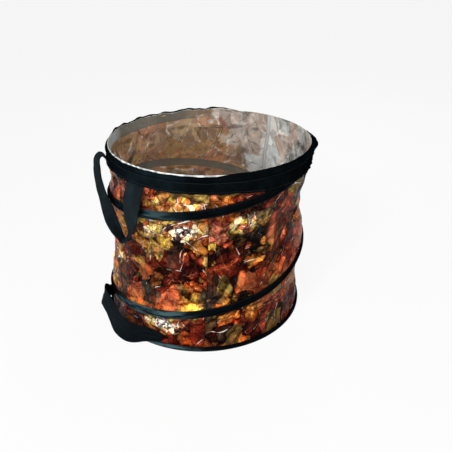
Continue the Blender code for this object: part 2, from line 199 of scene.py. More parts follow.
class Recipe:
    """A node tree that is being written: a material's, the world's, a group's or a modifier's."""

    def __init__(self, tree):
        self.tree = tree

    def add(self, kind, settings=None, values=None, output=0):
        """A new node, as the term of one of its outputs. Settings come first, then sockets."""
        node = self.tree.nodes.new(kind)
        for key, value in (settings or {}).items():
            if key == "stops":
                self.paint(node.color_ramp, value)
            else:
                setattr(node, key, value)
        for key, value in (values or {}).items():
            self.feed(node, key, value)
        return Term(self, node.outputs[output]) if len(node.outputs) else node

    def paint(self, ramp, stops):
        """Gives a colour ramp its stops, each a place and a colour."""
        while len(ramp.elements) < len(stops):
            ramp.elements.new(1)
        for element, (spot, colour) in zip(ramp.elements, stops):
            element.position = spot
            element.color = (*colour, 1)

    def feed(self, node, key, value):
        """Links a term to a node's input, or sets the input to a plain value."""
        found = [s for s in node.inputs if s.identifier == key] if isinstance(key, str) else []
        socket = found[0] if found else node.inputs[key]
        if isinstance(value, Term):
            self.tree.links.new(value.socket, socket)
        elif socket.type == "RGBA" and len(value) == 3:
            socket.default_value = (*value, 1)
        else:
            socket.default_value = value

    def step(self, value, start, end):
        """0 up to start and 1 from end on, with a smooth rise between."""
        values = {"Value": value, "From Min": start, "From Max": end}
        return self.add("ShaderNodeMapRange", {"interpolation_type": "SMOOTHSTEP"}, values)

    def mix(self, share, one, other, way="MIX"):
        """One colour blended towards another by a share."""
        settings = {"data_type": "RGBA", "blend_type": way}
        values = {"Factor_Float": share, "A_Color": one, "B_Color": other}
        return self.add("ShaderNodeMix", settings, values, output=2)

    def vectors(self, operation, one, other):
        """Vector Math on two vectors, or on a vector and a scale."""
        key = "Scale" if operation == "SCALE" else 1
        return self.add("ShaderNodeVectorMath", {"operation": operation}, {0: one, key: other})

    def split(self, vector):
        """A vector's x. Its y and z are other outputs of the same node."""
        return self.add("ShaderNodeSeparateXYZ", {}, {"Vector": vector})

    def where(self):
        """The place in the object's own coordinates, in metres."""
        return self.add("ShaderNodeTexCoord", output="Object")

    def flat(self):
        """The place on the flat cloth, in metres."""
        return self.add("ShaderNodeUVMap", {"uv_map": "cloth"})

    def mark(self, name):
        """A number that is kept with the mesh's points."""
        return self.add("ShaderNodeAttribute", {"attribute_name": name}, output="Fac")

    def clouds(self, where, size, detail=2.0, rough=0.5, bend=0.0):
        """Noise from 0 to 1 with clouds of this size in metres."""
        values = {"Vector": where, "Scale": 1 / size, "Detail": detail, "Roughness": rough}
        return self.add("ShaderNodeTexNoise", {}, {**values, "Distortion": bend})

    def pushed(self, where, size, detail, rough, reach):
        """A place pushed aside by up to half this reach, in clouds of this size."""
        push = self.clouds(where, size, detail, rough).also("Color")
        push = self.vectors("SUBTRACT", push, (0.5, 0.5, 0.5))
        return self.vectors("ADD", where, self.vectors("SCALE", push, reach))

    def ramp(self, share, stops, steps=False):
        """A colour from a row of stops, blended between them or in steps."""
        colour = self.add("ShaderNodeValToRGB", {"stops": stops}, {"Fac": share})
        if steps:
            colour.socket.node.color_ramp.interpolation = "CONSTANT"
        return colour

    def shade(self, share, colour, times):
        """The colour, dulled or lit by a share of the way to itself times another colour."""
        return self.mix(share, colour, self.mix(1.0, colour, times, "MULTIPLY"))

    def cells(self, where, size):
        """Three chance numbers, as a colour, that are the same all over each cell of this size."""
        settings = {"voronoi_dimensions": "2D", "feature": "F1"}
        values = {"Vector": where, "Scale": 1 / size, "Randomness": 1.0}
        colour = self.add("ShaderNodeTexVoronoi", settings, values, "Color")
        return self.add("ShaderNodeSeparateColor", {}, {"Color": colour})

    def borders(self, where, size):
        """How far a place is from the border of its cell, in metres."""
        settings = {"voronoi_dimensions": "2D", "feature": "DISTANCE_TO_EDGE"}
        values = {"Vector": where, "Scale": 1 / size}
        return self.add("ShaderNodeTexVoronoi", settings, values, "Distance") * size


class Finish(Recipe):
    """A material under way. Its shader's plain numbers are set once, and what varies is linked."""

    def __init__(self, name, **plain):
        self.material = bpy.data.materials.new(name)
        self.material.use_nodes = True
        super().__init__(self.material.node_tree)
        self.shader = self.tree.nodes["Principled BSDF"]
        for key, value in plain.items():
            self.feed(self.shader, key.replace("_", " ").title().replace("Ior", "IOR"), value)

    def wear(self, colour, roughness, relief):
        """Links the colour, the roughness and the surface's relief in metres."""
        bump = self.add("ShaderNodeBump", {}, {"Strength": 1.0, "Distance": 1.0, "Height": relief})
        self.feed(self.shader, "Base Color", colour)
        self.feed(self.shader, "Roughness", roughness)
        self.feed(self.shader, "Normal", bump)
        return self.material


def dress(piece, body, slot, *nodes):
    """Says what a piece rides on and hides the model's parts that it stands for. slot, which of the
    record's finishes it has, is not used.
    """
    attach(piece, body)
    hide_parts(*nodes)
    return piece


def coated_fabric():
    """Black cloth with a rubbed plastic coat: a fine plain weave that shows through, and scuffs."""
    f = Finish("coated_fabric", specular_ior_level=0.35)
    where = f.where()
    x = f.split(where)
    thread = TURN / 0.0011
    weave = (x * thread).then("SINE") * (x.also("Y") * thread).then("SINE")
    scuffs = f.clouds(where, 0.035, 5.0, 0.65)
    colour = f.mix(scuffs, (0.010, 0.010, 0.011), (0.030, 0.030, 0.032))
    return f.wear(colour, 0.45 + 0.3 * scuffs, weave * 0.00005 + scuffs * 0.0008)


angles = np.linspace(0, TURN, PANEL_SPOKES, endpoint=False)[:, None]
edge = wall_line(0) + PIPING_OUT
outward, inward = np.linspace(0, edge, TOP_RINGS), np.linspace(edge, 0, UNDER_RINGS)
reach = np.concatenate((outward, inward))[None, :]
top = PANEL_THICKNESS * np.concatenate((np.ones(TOP_RINGS), np.zeros(UNDER_RINGS)))[None, :]
quilt = QUILT * noise(angles / TURN * 24, reach / 0.03, 2, 24) * ease(reach, 0.02, 0.06)
sag = -PANEL_SAG * (1 - reach / edge) + quilt * ease(edge - reach, 0.0, 0.03)
panel_z = np.where(top > 0, top + np.minimum(sag, 0), top + 0 * angles)
panel = place(angles, reach, panel_z)
spread = np.concatenate((panel, panel[:1]))[..., :2]
floor_panel = skin("floor_panel", panel, spread, [coated_fabric()], around=False, along=True)
dress(floor_panel, "base", "black_fabric", "base_panel")
2 * edge
2 * edge
math.pi * edge**2

# Piping: black woven tape folded over the seam between the floor and the wall and sewn through.
# It holds the base ring, a 3 mm spring wire whose two ends meet in a pressed brass ferrule.
PIPING_TOP = 0.0077
WALL_FOOT = 0.0018
TAPE_THICKNESS = 0.0009
ROUND = 480  # points round the basket
WINDOW = math.radians(238)  # the side that most light comes from
BAND_LOW = 0.3725  # of the rim band's lower edge


def black_tape():
    """Matt black woven tape. Fine ribs run across it, and lint greys it. Faint blue-green wear lies in
    patches all round; on the side of the window is a painted dark blue-green highlight in patches,
    and below the band a painted highlight in streaks."""
    f = Finish("black_tape", specular_ior_level=0.0)
    flat = f.flat()
    across = f.split(flat)
    along = across.also("Y")
    rib = f.step((along * (TURN / 0.0012)).then("SINE"), -0.6, 0.9)
    yarn = (across * (TURN / 0.0009) + rib * 1.4).then("SINE")
    lint = f.clouds(flat, 0.018, 6.0, 0.62)
    worn = f.step(f.clouds(flat, 0.055, 3.0, 0.5, 0.6), 0.42, 0.72)
    x = f.split(f.where())
    window_side = (x * math.cos(WINDOW) + x.also("Y") * math.sin(WINDOW)) / BASE_RADIUS
    # Painted highlight: on the window's side the patches turn dark blue-green; elsewhere only a faint
    # share of wear shows.
    worn = worn * 0.1 + f.step(window_side, 0.80, 1.02) * (0.35 + worn * 0.65)
    colour = f.mix(lint, (0.0005, 0.0006, 0.0007), (0.0024, 0.0034, 0.0040))
    colour = f.mix(worn * 0.8, colour, (0.0090, 0.0200, 0.0260))
    drawn = f.vectors("MULTIPLY", flat, (1.0, 0.16, 1.0))
    # Painted highlight in streaks along the sleeve and piping on the window's side.
    painted_gleam = f.step(f.clouds(drawn, 0.0080, 3.0, 0.5), 0.42, 0.60) * f.step(window_side, 0.86, 0.98)
    painted_gleam = painted_gleam * f.step(x.also("Z"), BAND_LOW, BAND_LOW - 0.01)
    colour = f.mix(painted_gleam * 0.85, colour, (0.0440, 0.0820, 0.0900))
    relief = rib * 0.00011 + yarn * 0.00003 + lint * 0.0004
    return f.wear(colour, 0.58 + 0.25 * lint, relief)


def spring_steel():
    """Drawn wire: fine lines along it, oil-dark patches and a little rust bloom."""
    f = Finish("spring_steel", metallic=1.0)
    where = f.where()
    patches = f.clouds(where, 0.02, 5.0, 0.6)
    bloom = f.step(f.clouds(where, 0.006, 4.0, 0.7), 0.60, 0.80)
    colour = f.mix(patches, (0.25, 0.26, 0.28), (0.48, 0.49, 0.51))
    colour = f.mix(bloom * 0.6, colour, (0.20, 0.10, 0.05))
    return f.wear(colour, 0.28 + 0.3 * patches, f.clouds(where, 0.0012, 2.0) * 0.00006)


def pressed_brass():
    """Crimped brass, tarnished in the hollows of the pressing."""
    f = Finish("pressed_brass", metallic=1.0)
    where = f.where()
    tarnish = f.clouds(where, 0.004, 4.0, 0.6)
    colour = f.mix(tarnish, (0.66, 0.50, 0.22), (0.30, 0.20, 0.09))
    return f.wear(colour, 0.3 + 0.35 * tarnish, tarnish * 0.0002)


def tape_round(name, outline, finish, body, *nodes):
    """A tape right round the basket. outline gives, at the angles, each point's reach beyond the
    wall's line and its height; the section runs down the outside and back up the inside."""
    angles = np.linspace(0, TURN, ROUND, endpoint=False)[:, None]
    out, z = outline(angles)
    grid = place(angles, wall_line(z) + out, z)
    steps = np.hypot(np.diff(out[0], append=out[0, :1]), np.diff(z[0], append=z[0, :1]))
    across = np.concatenate(([0], np.cumsum(steps)))[None, :] + 0 * np.arange(ROUND + 1)[:, None]
    along = np.linspace(0, TURN * RIM_RADIUS, ROUND + 1)[:, None] + 0 * across
    cloth = np.stack((across, along), axis=-1)
    piece = skin(name, grid, cloth, [finish], along=True)
    return dress(piece, body, "black_tape", *nodes)


def piping_outline(angles):
    """The folded tape: flat on the wall at its top, round over the wire and down to the floor."""
    arc = np.linspace(0, math.pi / 2, 9)
    lie = 0.00035 * np.abs(noise(angles / TURN * 160, 0.5, 11, 160))
    outer = 0.0012 + (PIPING_OUT - 0.0012) * np.sin(arc) + lie
    outer_z = PIPING_TOP - (PIPING_TOP - 0.0040) * (1 - np.cos(arc))
    tail = np.stack((np.full(4, PIPING_OUT), np.linspace(0.0034, WALL_FOOT, 4)))
    out = np.concatenate((0 * angles + 0.0006, outer, tail[0] + lie), axis=1)
    z = np.concatenate((0 * angles + PIPING_TOP, outer_z + 0 * angles, tail[1] + 0 * angles), axis=1)
    inner = np.clip(out[:, ::-1] - TAPE_THICKNESS, GAP, None)
    inner_z = np.clip(z[:, ::-1] - TAPE_THICKNESS, WALL_FOOT, None)
    return np.concatenate((out, inner), axis=1), np.concatenate((z, inner_z), axis=1)


tape = black_tape()
steel = spring_steel()
brass = pressed_brass()
tape_round("base_piping_tape", piping_outline, tape, "base", "base_piping")
for node, finish in (("base_ring", steel), ("base_ferrule", brass), ("rim_ring", steel),
                     ("rim_ferrule", brass)):
    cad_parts[node].data.materials[0] = finish

# Wall: two panels of thin glossy vinyl with autumn leaves printed on the back of the clear film.
# The coil, the piping and the rim band hold it out, and between them it draws in and crumples.
WALL_THICKNESS = 0.0008
CINCH = 0.009  # how far the wall draws in midway between two turns of the coil
CINCH_SPAN = 0.150  # turns this far apart give the full cinch
COIL_PITCH = 0.234
COIL_MIDDLE = 0.178
COIL_TILT = 0.0218
COIL_LOW = 0.018
SLEEVE_HALF = 0.010  # half the width of the coil's sleeve
SLEEVE_LIMIT = 0.3722
SEAM_FRONT = math.radians(270)
SEAM_BACK = math.radians(48)
GRID = 0.0032  # spacing of the wall's points
WALL_ROWS = 127  # of points below the film's cut edge
PATCH = 0.046  # size of the print's plain pieces
SCRAP = 0.012  # and of those that bunched-up film breaks it into
BACK_PIECE = 0.050  # size of the pieces seen on the film's back
WIDE_FOLDS = (0.080, 100)  # distance from fold to fold, and seed
SMALL_FOLDS = (0.036, 120)


def coil_height(angle, turn):
    """Height of the coil over this angle, on its turn of this number."""
    return COIL_MIDDLE + COIL_PITCH * (angle / TURN + turn) + COIL_TILT * np.sin(angle)


def coil_passes(angle, low, high):
    """Heights between low and high at which the coil passes this angle."""
    passes = [float(coil_height(angle, turn)) for turn in range(-4, 4)]
    return [z for z in passes if low < z < high]


def fold_runs(arc, z, size, seed):
    """Stiff film folds along four sets of lines this far apart. For each set, how many lines have
    been passed at a point, and how deep the folds are there."""
    for n, way in enumerate((0.35, 1.20, 2.05, 2.75)):
        bend = 0.9 * noise(arc / size / 2.5, z / size / 2.5, seed + n)
        run = (arc * math.cos(way) + z * math.sin(way)) / size + bend
        yield run, np.clip(0.5 + noise(arc / size / 1.4, z / size / 1.4, seed + 5 + n), 0, 1)


def facets(arc, z, size, seed):
    """The lie of folded film, flat between sharp creases, from -1 to 1."""
    runs = fold_runs(arc, z, size, seed)
    return sum((np.abs(np.mod(run, 1) - 0.5) * 4 - 1) * deep for run, deep in runs) / 1.6


def bunched(arc, z):
    """Where the film is bunched up beside the coil, from 0 to about 1."""
    total = 0
    for middle, height, long, deep in (
        (238, 0.296, 0.050, 0.9), (258, 0.288, 0.034, 1.5), (288, 0.298, 0.034, 0.9),
        (246, 0.054, 0.042, 1.55), (205, 0.170, 0.040, 0.5), (256, 0.344, 0.060, 0.7),
    ):
        away = (arc - math.radians(middle) * RIM_RADIUS) / long
        total = total + deep * np.exp(-(away**2) - ((z - height) / 0.022) ** 2)
    return total


def buckles(angle, z, clear):
    """How far the film stands out or in, clear being the bare distance to the nearest tape: wide
    facets all over, and smaller ones and puckers along the tapes and where it is bunched up."""
    arc = angle * RIM_RADIUS
    calm = ease(np.sin(angle), -0.2, 0.5)
    near = np.exp(-clear / 0.016)
    bunch = bunched(arc, z)
    total = 0.0032 * facets(arc, z, *WIDE_FOLDS)
    total = total + 0.0026 * (1 - 0.6 * calm) * facets(arc, z, *SMALL_FOLDS)
    rough = (0.3 + 0.5 * near + bunch) * (1 - 0.85 * calm)
    total = total + 0.0016 * rough * facets(arc, z, 0.017, 140)
    pucker = 0.0024 * near * (1 - 0.5 * calm) * noise(arc / 0.012, z / 0.045, 27)
    return total + pucker + 0.0030 * bunch * noise(arc / 0.013, z / 0.016, 28)


def wall_face(angle, z):
    """Radius of the film's outer face over a grid of angles (a column) and heights (a row), how
    far each point is from the coil's line, and how far its folds stand out."""
    drawn = np.zeros(np.broadcast_shapes(angle.shape, z.shape))
    clear = np.zeros_like(drawn)
    off_coil = np.ones_like(drawn)
    for row, a in enumerate(angle.ravel()):
        here = coil_passes(a, COIL_LOW, SLEEVE_LIMIT - 0.0045)
        held = [PIPING_TOP, *here, BAND_LOW]
        for low, high in zip(held, held[1:]):
            share = min(1, (high - low) / CINCH_SPAN)
            turned = np.clip((z - low) / (high - low), 0, 1)
            drawn[row] += (CINCH * share * np.sin(math.pi * turned) ** 2)[0]
        for pass_z in coil_passes(a, COIL_LOW, SLEEVE_LIMIT + 0.004):
            off_coil[row] = np.minimum(off_coil[row], np.abs(z - pass_z)[0])
        edges = np.minimum(np.clip(z - PIPING_TOP, 0, 1), np.clip(BAND_LOW - z, 0, 1))[0]
        clear[row] = np.minimum(edges, np.clip(off_coil[row] - SLEEVE_HALF, 0, 1))
    free = ease(clear, 0.0, 0.011)
    for seam, tight, flat in ((SEAM_BACK, 0.0065, 0.040), (SEAM_BACK + TURN, 0.0065, 0.040),
                              (SEAM_FRONT, 0.0, 0.012)):
        off_seam = np.abs(angle - seam) * RIM_RADIUS
        free = free * ease(off_seam, tight, flat)
        drawn = drawn + 0.0012 * np.exp(-((off_seam / 0.0030) ** 2)) * ease(clear, 0.0, 0.006)
    for middle, height, deep in ((356, 0.326, 0.015), (364, 0.275, 0.016), (322, 0.285, 0.004),
                                 (196, 0.300, 0.004)):
        away = (angle - math.radians(middle)) * RIM_RADIUS / 0.060
        hollow = np.exp(-(away**2) - ((z - height) / 0.036) ** 2)
        drawn = drawn + deep * hollow * ease(clear, 0.0, 0.03)
    folds = (buckles(angle, z, clear) - 0.0008) * free
    room = drawn * 0.85 + 0.0004 * free
    out = np.where(folds > 0, folds * room / (folds + room + 1e-9), folds)
    return wall_line(z) - drawn + out, off_coil, out


def wall_marks(angle, z, off_coil, out):
    """Numbers kept with the film's points for its finish: the distances from the coil and from a
    seam, the height, the run of each set of folds, and how far they turn it to the window."""
    arc = angle * RIM_RADIUS
    off_seam = np.minimum(arc - arc[0], arc[-1] - arc)
    rise, along = np.gradient(out, z[0], axis=1), np.gradient(out, arc[:, 0], axis=0)
    tilt = np.sin(angle - WINDOW) * along - rise
    marks = {"off_coil": off_coil, "rise": z + 0 * angle, "bunched": bunched(arc, z), "tilt": tilt,
             "off_seam": off_seam + 0 * z}
    for folds, (size, seed) in enumerate((WIDE_FOLDS, SMALL_FOLDS)):
        for n, (run, _) in enumerate(fold_runs(arc, z, size, seed)):
            marks[f"fold_{4 * folds + n}"] = run
    return {key: np.concatenate((mark, mark[:, ::-1]), axis=1) for key, mark in marks.items()}


def leaf(f, flat, below, size, shift, lobed, share, colours):
    """Adds one scatter of leaves over what lies below, at most one leaf to a cell of this size in
    metres. Lobed leaves have five toothed lobes and the others are long ovals, each with veins, a
    stem, a fold of light and shade, and a shadow round it. A share of the cells has a leaf."""
    spot = f.vectors("ADD", f.vectors("SCALE", flat, 1 / size), shift)
    settings = {"voronoi_dimensions": "2D", "feature": "F1"}
    cell = f.add("ShaderNodeTexVoronoi", settings,
                 {"Vector": spot, "Scale": 1.0, "Randomness": 0.9}, "Position")
    chance = f.add("ShaderNodeSeparateColor", {}, {"Color": cell.also("Color")})
    local = f.vectors("SUBTRACT", spot, cell)
    turned = f.add("ShaderNodeVectorRotate", {"rotation_type": "Z_AXIS"},
                   {"Vector": local, "Angle": chance * (3 * TURN)})
    x = f.split(turned)
    y = x.also("Y")
    side = abs(y)
    reach = (x * x + y * y) ** 0.5
    ripple = f.add("ShaderNodeTexNoise", {"noise_dimensions": "2D"},
                   {"Vector": spot, "Scale": 4.0, "Detail": 5.0, "Roughness": 0.7})
    ripple = ripple - 0.5
    if lobed:
        swing = abs(y.then("ARCTAN2", x))
        lobe = abs((swing * 2.5).then("COSINE"))
        teeth = (swing * 4.4).then("PINGPONG", 0.5)
        border = 0.27 + lobe * (0.32 - swing * 0.050) + teeth * 0.07 * lobe + ripple * 0.34
        inside = border - reach
        off_vein = reach * abs((swing * 2.5).then("SINE")) * 0.4
        comb = ((reach - off_vein * 1.4) * 11.0).then("PINGPONG", 0.5)
        depth = reach / border
    else:
        along = x * 1.75
        wide = 0.28 + ripple * 0.32 - along * 0.07
        teeth = (x * 13.0).then("PINGPONG", 0.5)
        border = wide * (1 - along * along).then("MAXIMUM", 0.0) ** 0.7 + teeth * 0.02 - 0.01
        inside = border - side
        off_vein = side
        comb = ((x + side * 0.9) * 9.0).then("PINGPONG", 0.5)
        depth = side / 0.25
    there = f.step(chance.also("Green"), share + 0.001, share)
    shown = f.step(inside, 0.0, 0.012) * there
    halo = f.step(inside, -0.13, 0.0) * there
    colour = f.ramp(chance.also("Blue"), colours, steps=True)
    blotch = f.clouds(flat, size * 0.20, 6.0, 0.72, 1.4)
    colour = f.shade(f.step(depth + blotch * 1.2, 1.10, 1.75), colour, (0.55, 0.28, 0.22))
    colour = f.shade(f.step(blotch, 0.54, 0.60) * 0.75, colour, (0.40, 0.28, 0.25))
    colour = f.shade(f.step(blotch, 0.45, 0.39) * 0.75, colour, (1.55, 1.65, 1.45))
    fold = f.step(y, -0.008, 0.008) * f.step(chance.also("Green"), 0.0, share)
    colour = f.shade(fold * 0.55, colour, (0.38, 0.30, 0.30))
    fine = f.step(comb, 0.10, 0.02) * f.step(off_vein, 0.13, 0.02) * 0.14
    veins = f.step(off_vein, 0.012, 0.003) * 0.26
    colour = f.mix(veins + fine, colour, f.mix(0.6, colour, (0.85, 0.50, 0.22)))
    stem = f.step(side, 0.017, 0.008) * f.step(x, -0.02, -0.06) * f.step(x, -0.56, -0.52)
    stem = stem * f.step(chance.also("Green"), share * 0.6, share * 0.5)
    below = f.shade(halo * 0.94, below, (0.05, 0.03, 0.03))
    below = f.mix(shown, below, colour)
    return f.mix(stem * 0.8, below, (0.50, 0.33, 0.17))


def leaf_print():
    """The print on its own, as a group from a place on the flat film to a colour. Eight layers of
    leaves lie over a dark floor of leaf litter, the dull ones lowest. Cracks, chips and curls of
    light and shade break them up, and plain pieces of one colour lie over about half of them."""
    group = bpy.data.node_groups.new("leaf_print", "ShaderNodeTree")
    group.interface.new_socket("Flat", in_out="INPUT", socket_type="NodeSocketVector")
    group.interface.new_socket("Colour", in_out="OUTPUT", socket_type="NodeSocketColor")
    f = Recipe(group)
    flat = f.add("NodeGroupInput")
    flat = f.pushed(flat, 0.045, 4.0, 0.6, 0.040)
    flat = f.pushed(flat, 0.011, 3.0, 0.6, 0.010)
    litter = f.clouds(flat, 0.020, 8.0, 0.75, 1.6)
    colour = f.ramp(litter, [
        (0.40, (0.003, 0.002, 0.002)), (0.50, (0.018, 0.010, 0.007)),
        (0.57, (0.022, 0.032, 0.031)), (0.68, (0.140, 0.060, 0.022))])
    dark = [(0.0, (0.060, 0.008, 0.006)), (0.22, (0.110, 0.046, 0.018)), (0.44, (0.030, 0.030, 0.024)),
            (0.62, (0.120, 0.090, 0.026)), (0.82, (0.160, 0.056, 0.016))]
    dull = [(0.0, (0.160, 0.125, 0.036)), (0.22, (0.160, 0.030, 0.014)), (0.42, (0.260, 0.190, 0.065)),
            (0.60, (0.220, 0.080, 0.022)), (0.80, (0.045, 0.050, 0.036))]
    red = [(0.0, (0.330, 0.055, 0.022)), (0.22, (0.120, 0.016, 0.009)), (0.46, (0.440, 0.120, 0.036)),
           (0.66, (0.180, 0.026, 0.012)), (0.84, (0.400, 0.140, 0.090))]
    gold = [(0.0, (0.440, 0.200, 0.040)), (0.26, (0.240, 0.160, 0.040)), (0.48, (0.480, 0.130, 0.030)),
            (0.72, (0.520, 0.380, 0.070)), (0.86, (0.360, 0.110, 0.024))]
    for size, shift, lobed, share, colours in (
        (0.066, (3.1, 7.7, 0), True, 1.0, dark), (0.074, (9.4, 2.3, 0), False, 0.95, dull),
        (0.100, (5.2, 4.6, 0), True, 0.85, dark), (0.070, (2.6, 9.2, 0), False, 0.75, red),
        (0.118, (1.7, 8.9, 0), True, 0.62, dull), (0.062, (7.3, 6.1, 0), False, 0.50, gold),
        (0.092, (4.8, 1.2, 0), True, 0.50, red), (0.080, (8.1, 3.9, 0), True, 0.30, gold),
    ):
        colour = leaf(f, flat, colour, size, shift, lobed, share, colours)
    cracks = abs(f.clouds(flat, 0.026, 5.0, 0.62, 1.8) - 0.5)
    colour = f.shade(f.step(cracks, 0.016, 0.0) * 0.7, colour, (0.10, 0.07, 0.07))
    chips = f.cells(flat, 0.011)
    colour = f.shade(chips * 0.85, colour, (0.36, 0.30, 0.30))
    colour = f.shade(f.step(chips.also("Green"), 0.70, 0.74) * 0.8, colour, (1.75, 1.70, 1.50))
    pieces = f.cells(flat, 0.030)
    colour = f.shade(pieces * 0.8, colour, (0.60, 0.48, 0.46))
    colour = f.shade(f.step(pieces.also("Green"), 0.60, 0.64) * 0.7, colour, (1.40, 1.35, 1.20))
    curl = f.clouds(flat, 0.017, 6.0, 0.70, 1.8)
    colour = f.shade(f.step(curl, 0.54, 0.60) * 0.85, colour, (0.20, 0.13, 0.11))
    colour = f.shade(f.step(curl, 0.44, 0.38) * 0.85, colour, (1.60, 1.60, 1.45))
    patch = f.cells(flat, PATCH)
    plain = f.ramp(patch, [
        (0.0, (0.190, 0.150, 0.040)), (0.18, (0.150, 0.024, 0.012)), (0.36, (0.260, 0.076, 0.026)),
        (0.50, (0.030, 0.034, 0.028)), (0.64, (0.300, 0.078, 0.040)), (0.78, (0.055, 0.022, 0.014)),
        (0.90, (0.340, 0.250, 0.070))], steps=True)
    plain = f.shade(f.step(curl, 0.50, 0.58) * 0.7, plain, (0.45, 0.34, 0.30))
    plain = f.shade(f.step(curl, 0.46, 0.40) * 0.6, plain, (1.45, 1.40, 1.25))
    plain = f.shade(chips * 0.5, plain, (0.60, 0.52, 0.50))
    colour = f.mix(f.step(patch.also("Green"), 0.52, 0.54) * 0.66, colour, plain)
    rims = f.step(f.borders(flat, PATCH), 0.0015, 0.0005) * f.step(litter, 0.46, 0.54)
    colour = f.shade(rims * 0.75, colour, (0.20, 0.14, 0.13))
    colour = f.add("ShaderNodeGamma", {}, {"Color": colour, "Gamma": 1.04})
    done = f.add("NodeGroupOutput")
    f.feed(done, "Colour", colour)
    return group


def film_relief(f, flat):
    """Crackles and dents in stiff film, in metres."""
    dents = f.clouds(flat, 0.030, 3.0, 0.55, 0.5)
    folds = abs(f.clouds(flat, 0.024, 3.0, 0.5, 1.1) - 0.5)
    small = abs(f.clouds(flat, 0.0085, 2.0, 0.5, 0.7) - 0.5)
    worn = f.step(f.clouds(flat, 0.055, 2.0), 0.40, 0.60)
    sharp = f.step(folds, 0.0, 0.075) * 0.0012 + f.step(small, 0.0, 0.10) * 0.00040
    return dents * 0.0020 - sharp * (0.2 + 0.8 * worn)


def creases(f, flat, share, aside, half):
    """The lines along the film's folds, broken up, so far aside from the fold and this half width.
    A lower share leaves more of them."""
    total = 0.0
    bunch = f.mark("bunched")
    wobble = f.clouds(flat, 0.016, 3.0) * 0.0036 - 0.0018 - aside
    for n in range(8):
        run = f.mark(f"fold_{n}")
        size = WIDE_FOLDS[0] if n < 4 else SMALL_FOLDS[0]
        off = abs(run.then("PINGPONG", 0.5) * size + wobble)
        patchy = f.clouds(f.vectors("ADD", flat, (n * 3.7, n * 1.3, 0)), 0.060, 2.0) + bunch * 0.05
        strong = f.step(patchy, share, share + 0.05)
        total = (f.step(off, strong * half, 0.0) * strong).then("MAXIMUM", total)
    return total


def facet_chances(f):
    """Three chance numbers, as a colour, that are the same all over each flat facet between the
    film's smaller folds."""
    numbers = []
    for n in range(4, 8):
        run = f.mark(f"fold_{n}")
        numbers.append(run.then("FLOOR"))
    corner = {"X": numbers[0], "Y": numbers[1], "Z": numbers[2] + numbers[3] * 17.0}
    facet = f.add("ShaderNodeCombineXYZ", {}, corner)
    colour = f.add("ShaderNodeTexWhiteNoise", {"noise_dimensions": "3D"}, {"Vector": facet}, "Color")
    return f.add("ShaderNodeSeparateColor", {}, {"Color": colour})


def turned_light(f, colour, depth):
    """The colour with painted light and shade by the way the folded film lies, as far as depth says.
    """
    tilt = f.mark("tilt")
    colour = f.shade(f.step(tilt, -0.02, -0.30) * depth, colour, (0.16, 0.13, 0.13))
    return f.shade(f.step(tilt, 0.02, 0.34) * depth, colour, (2.00, 1.95, 1.80))


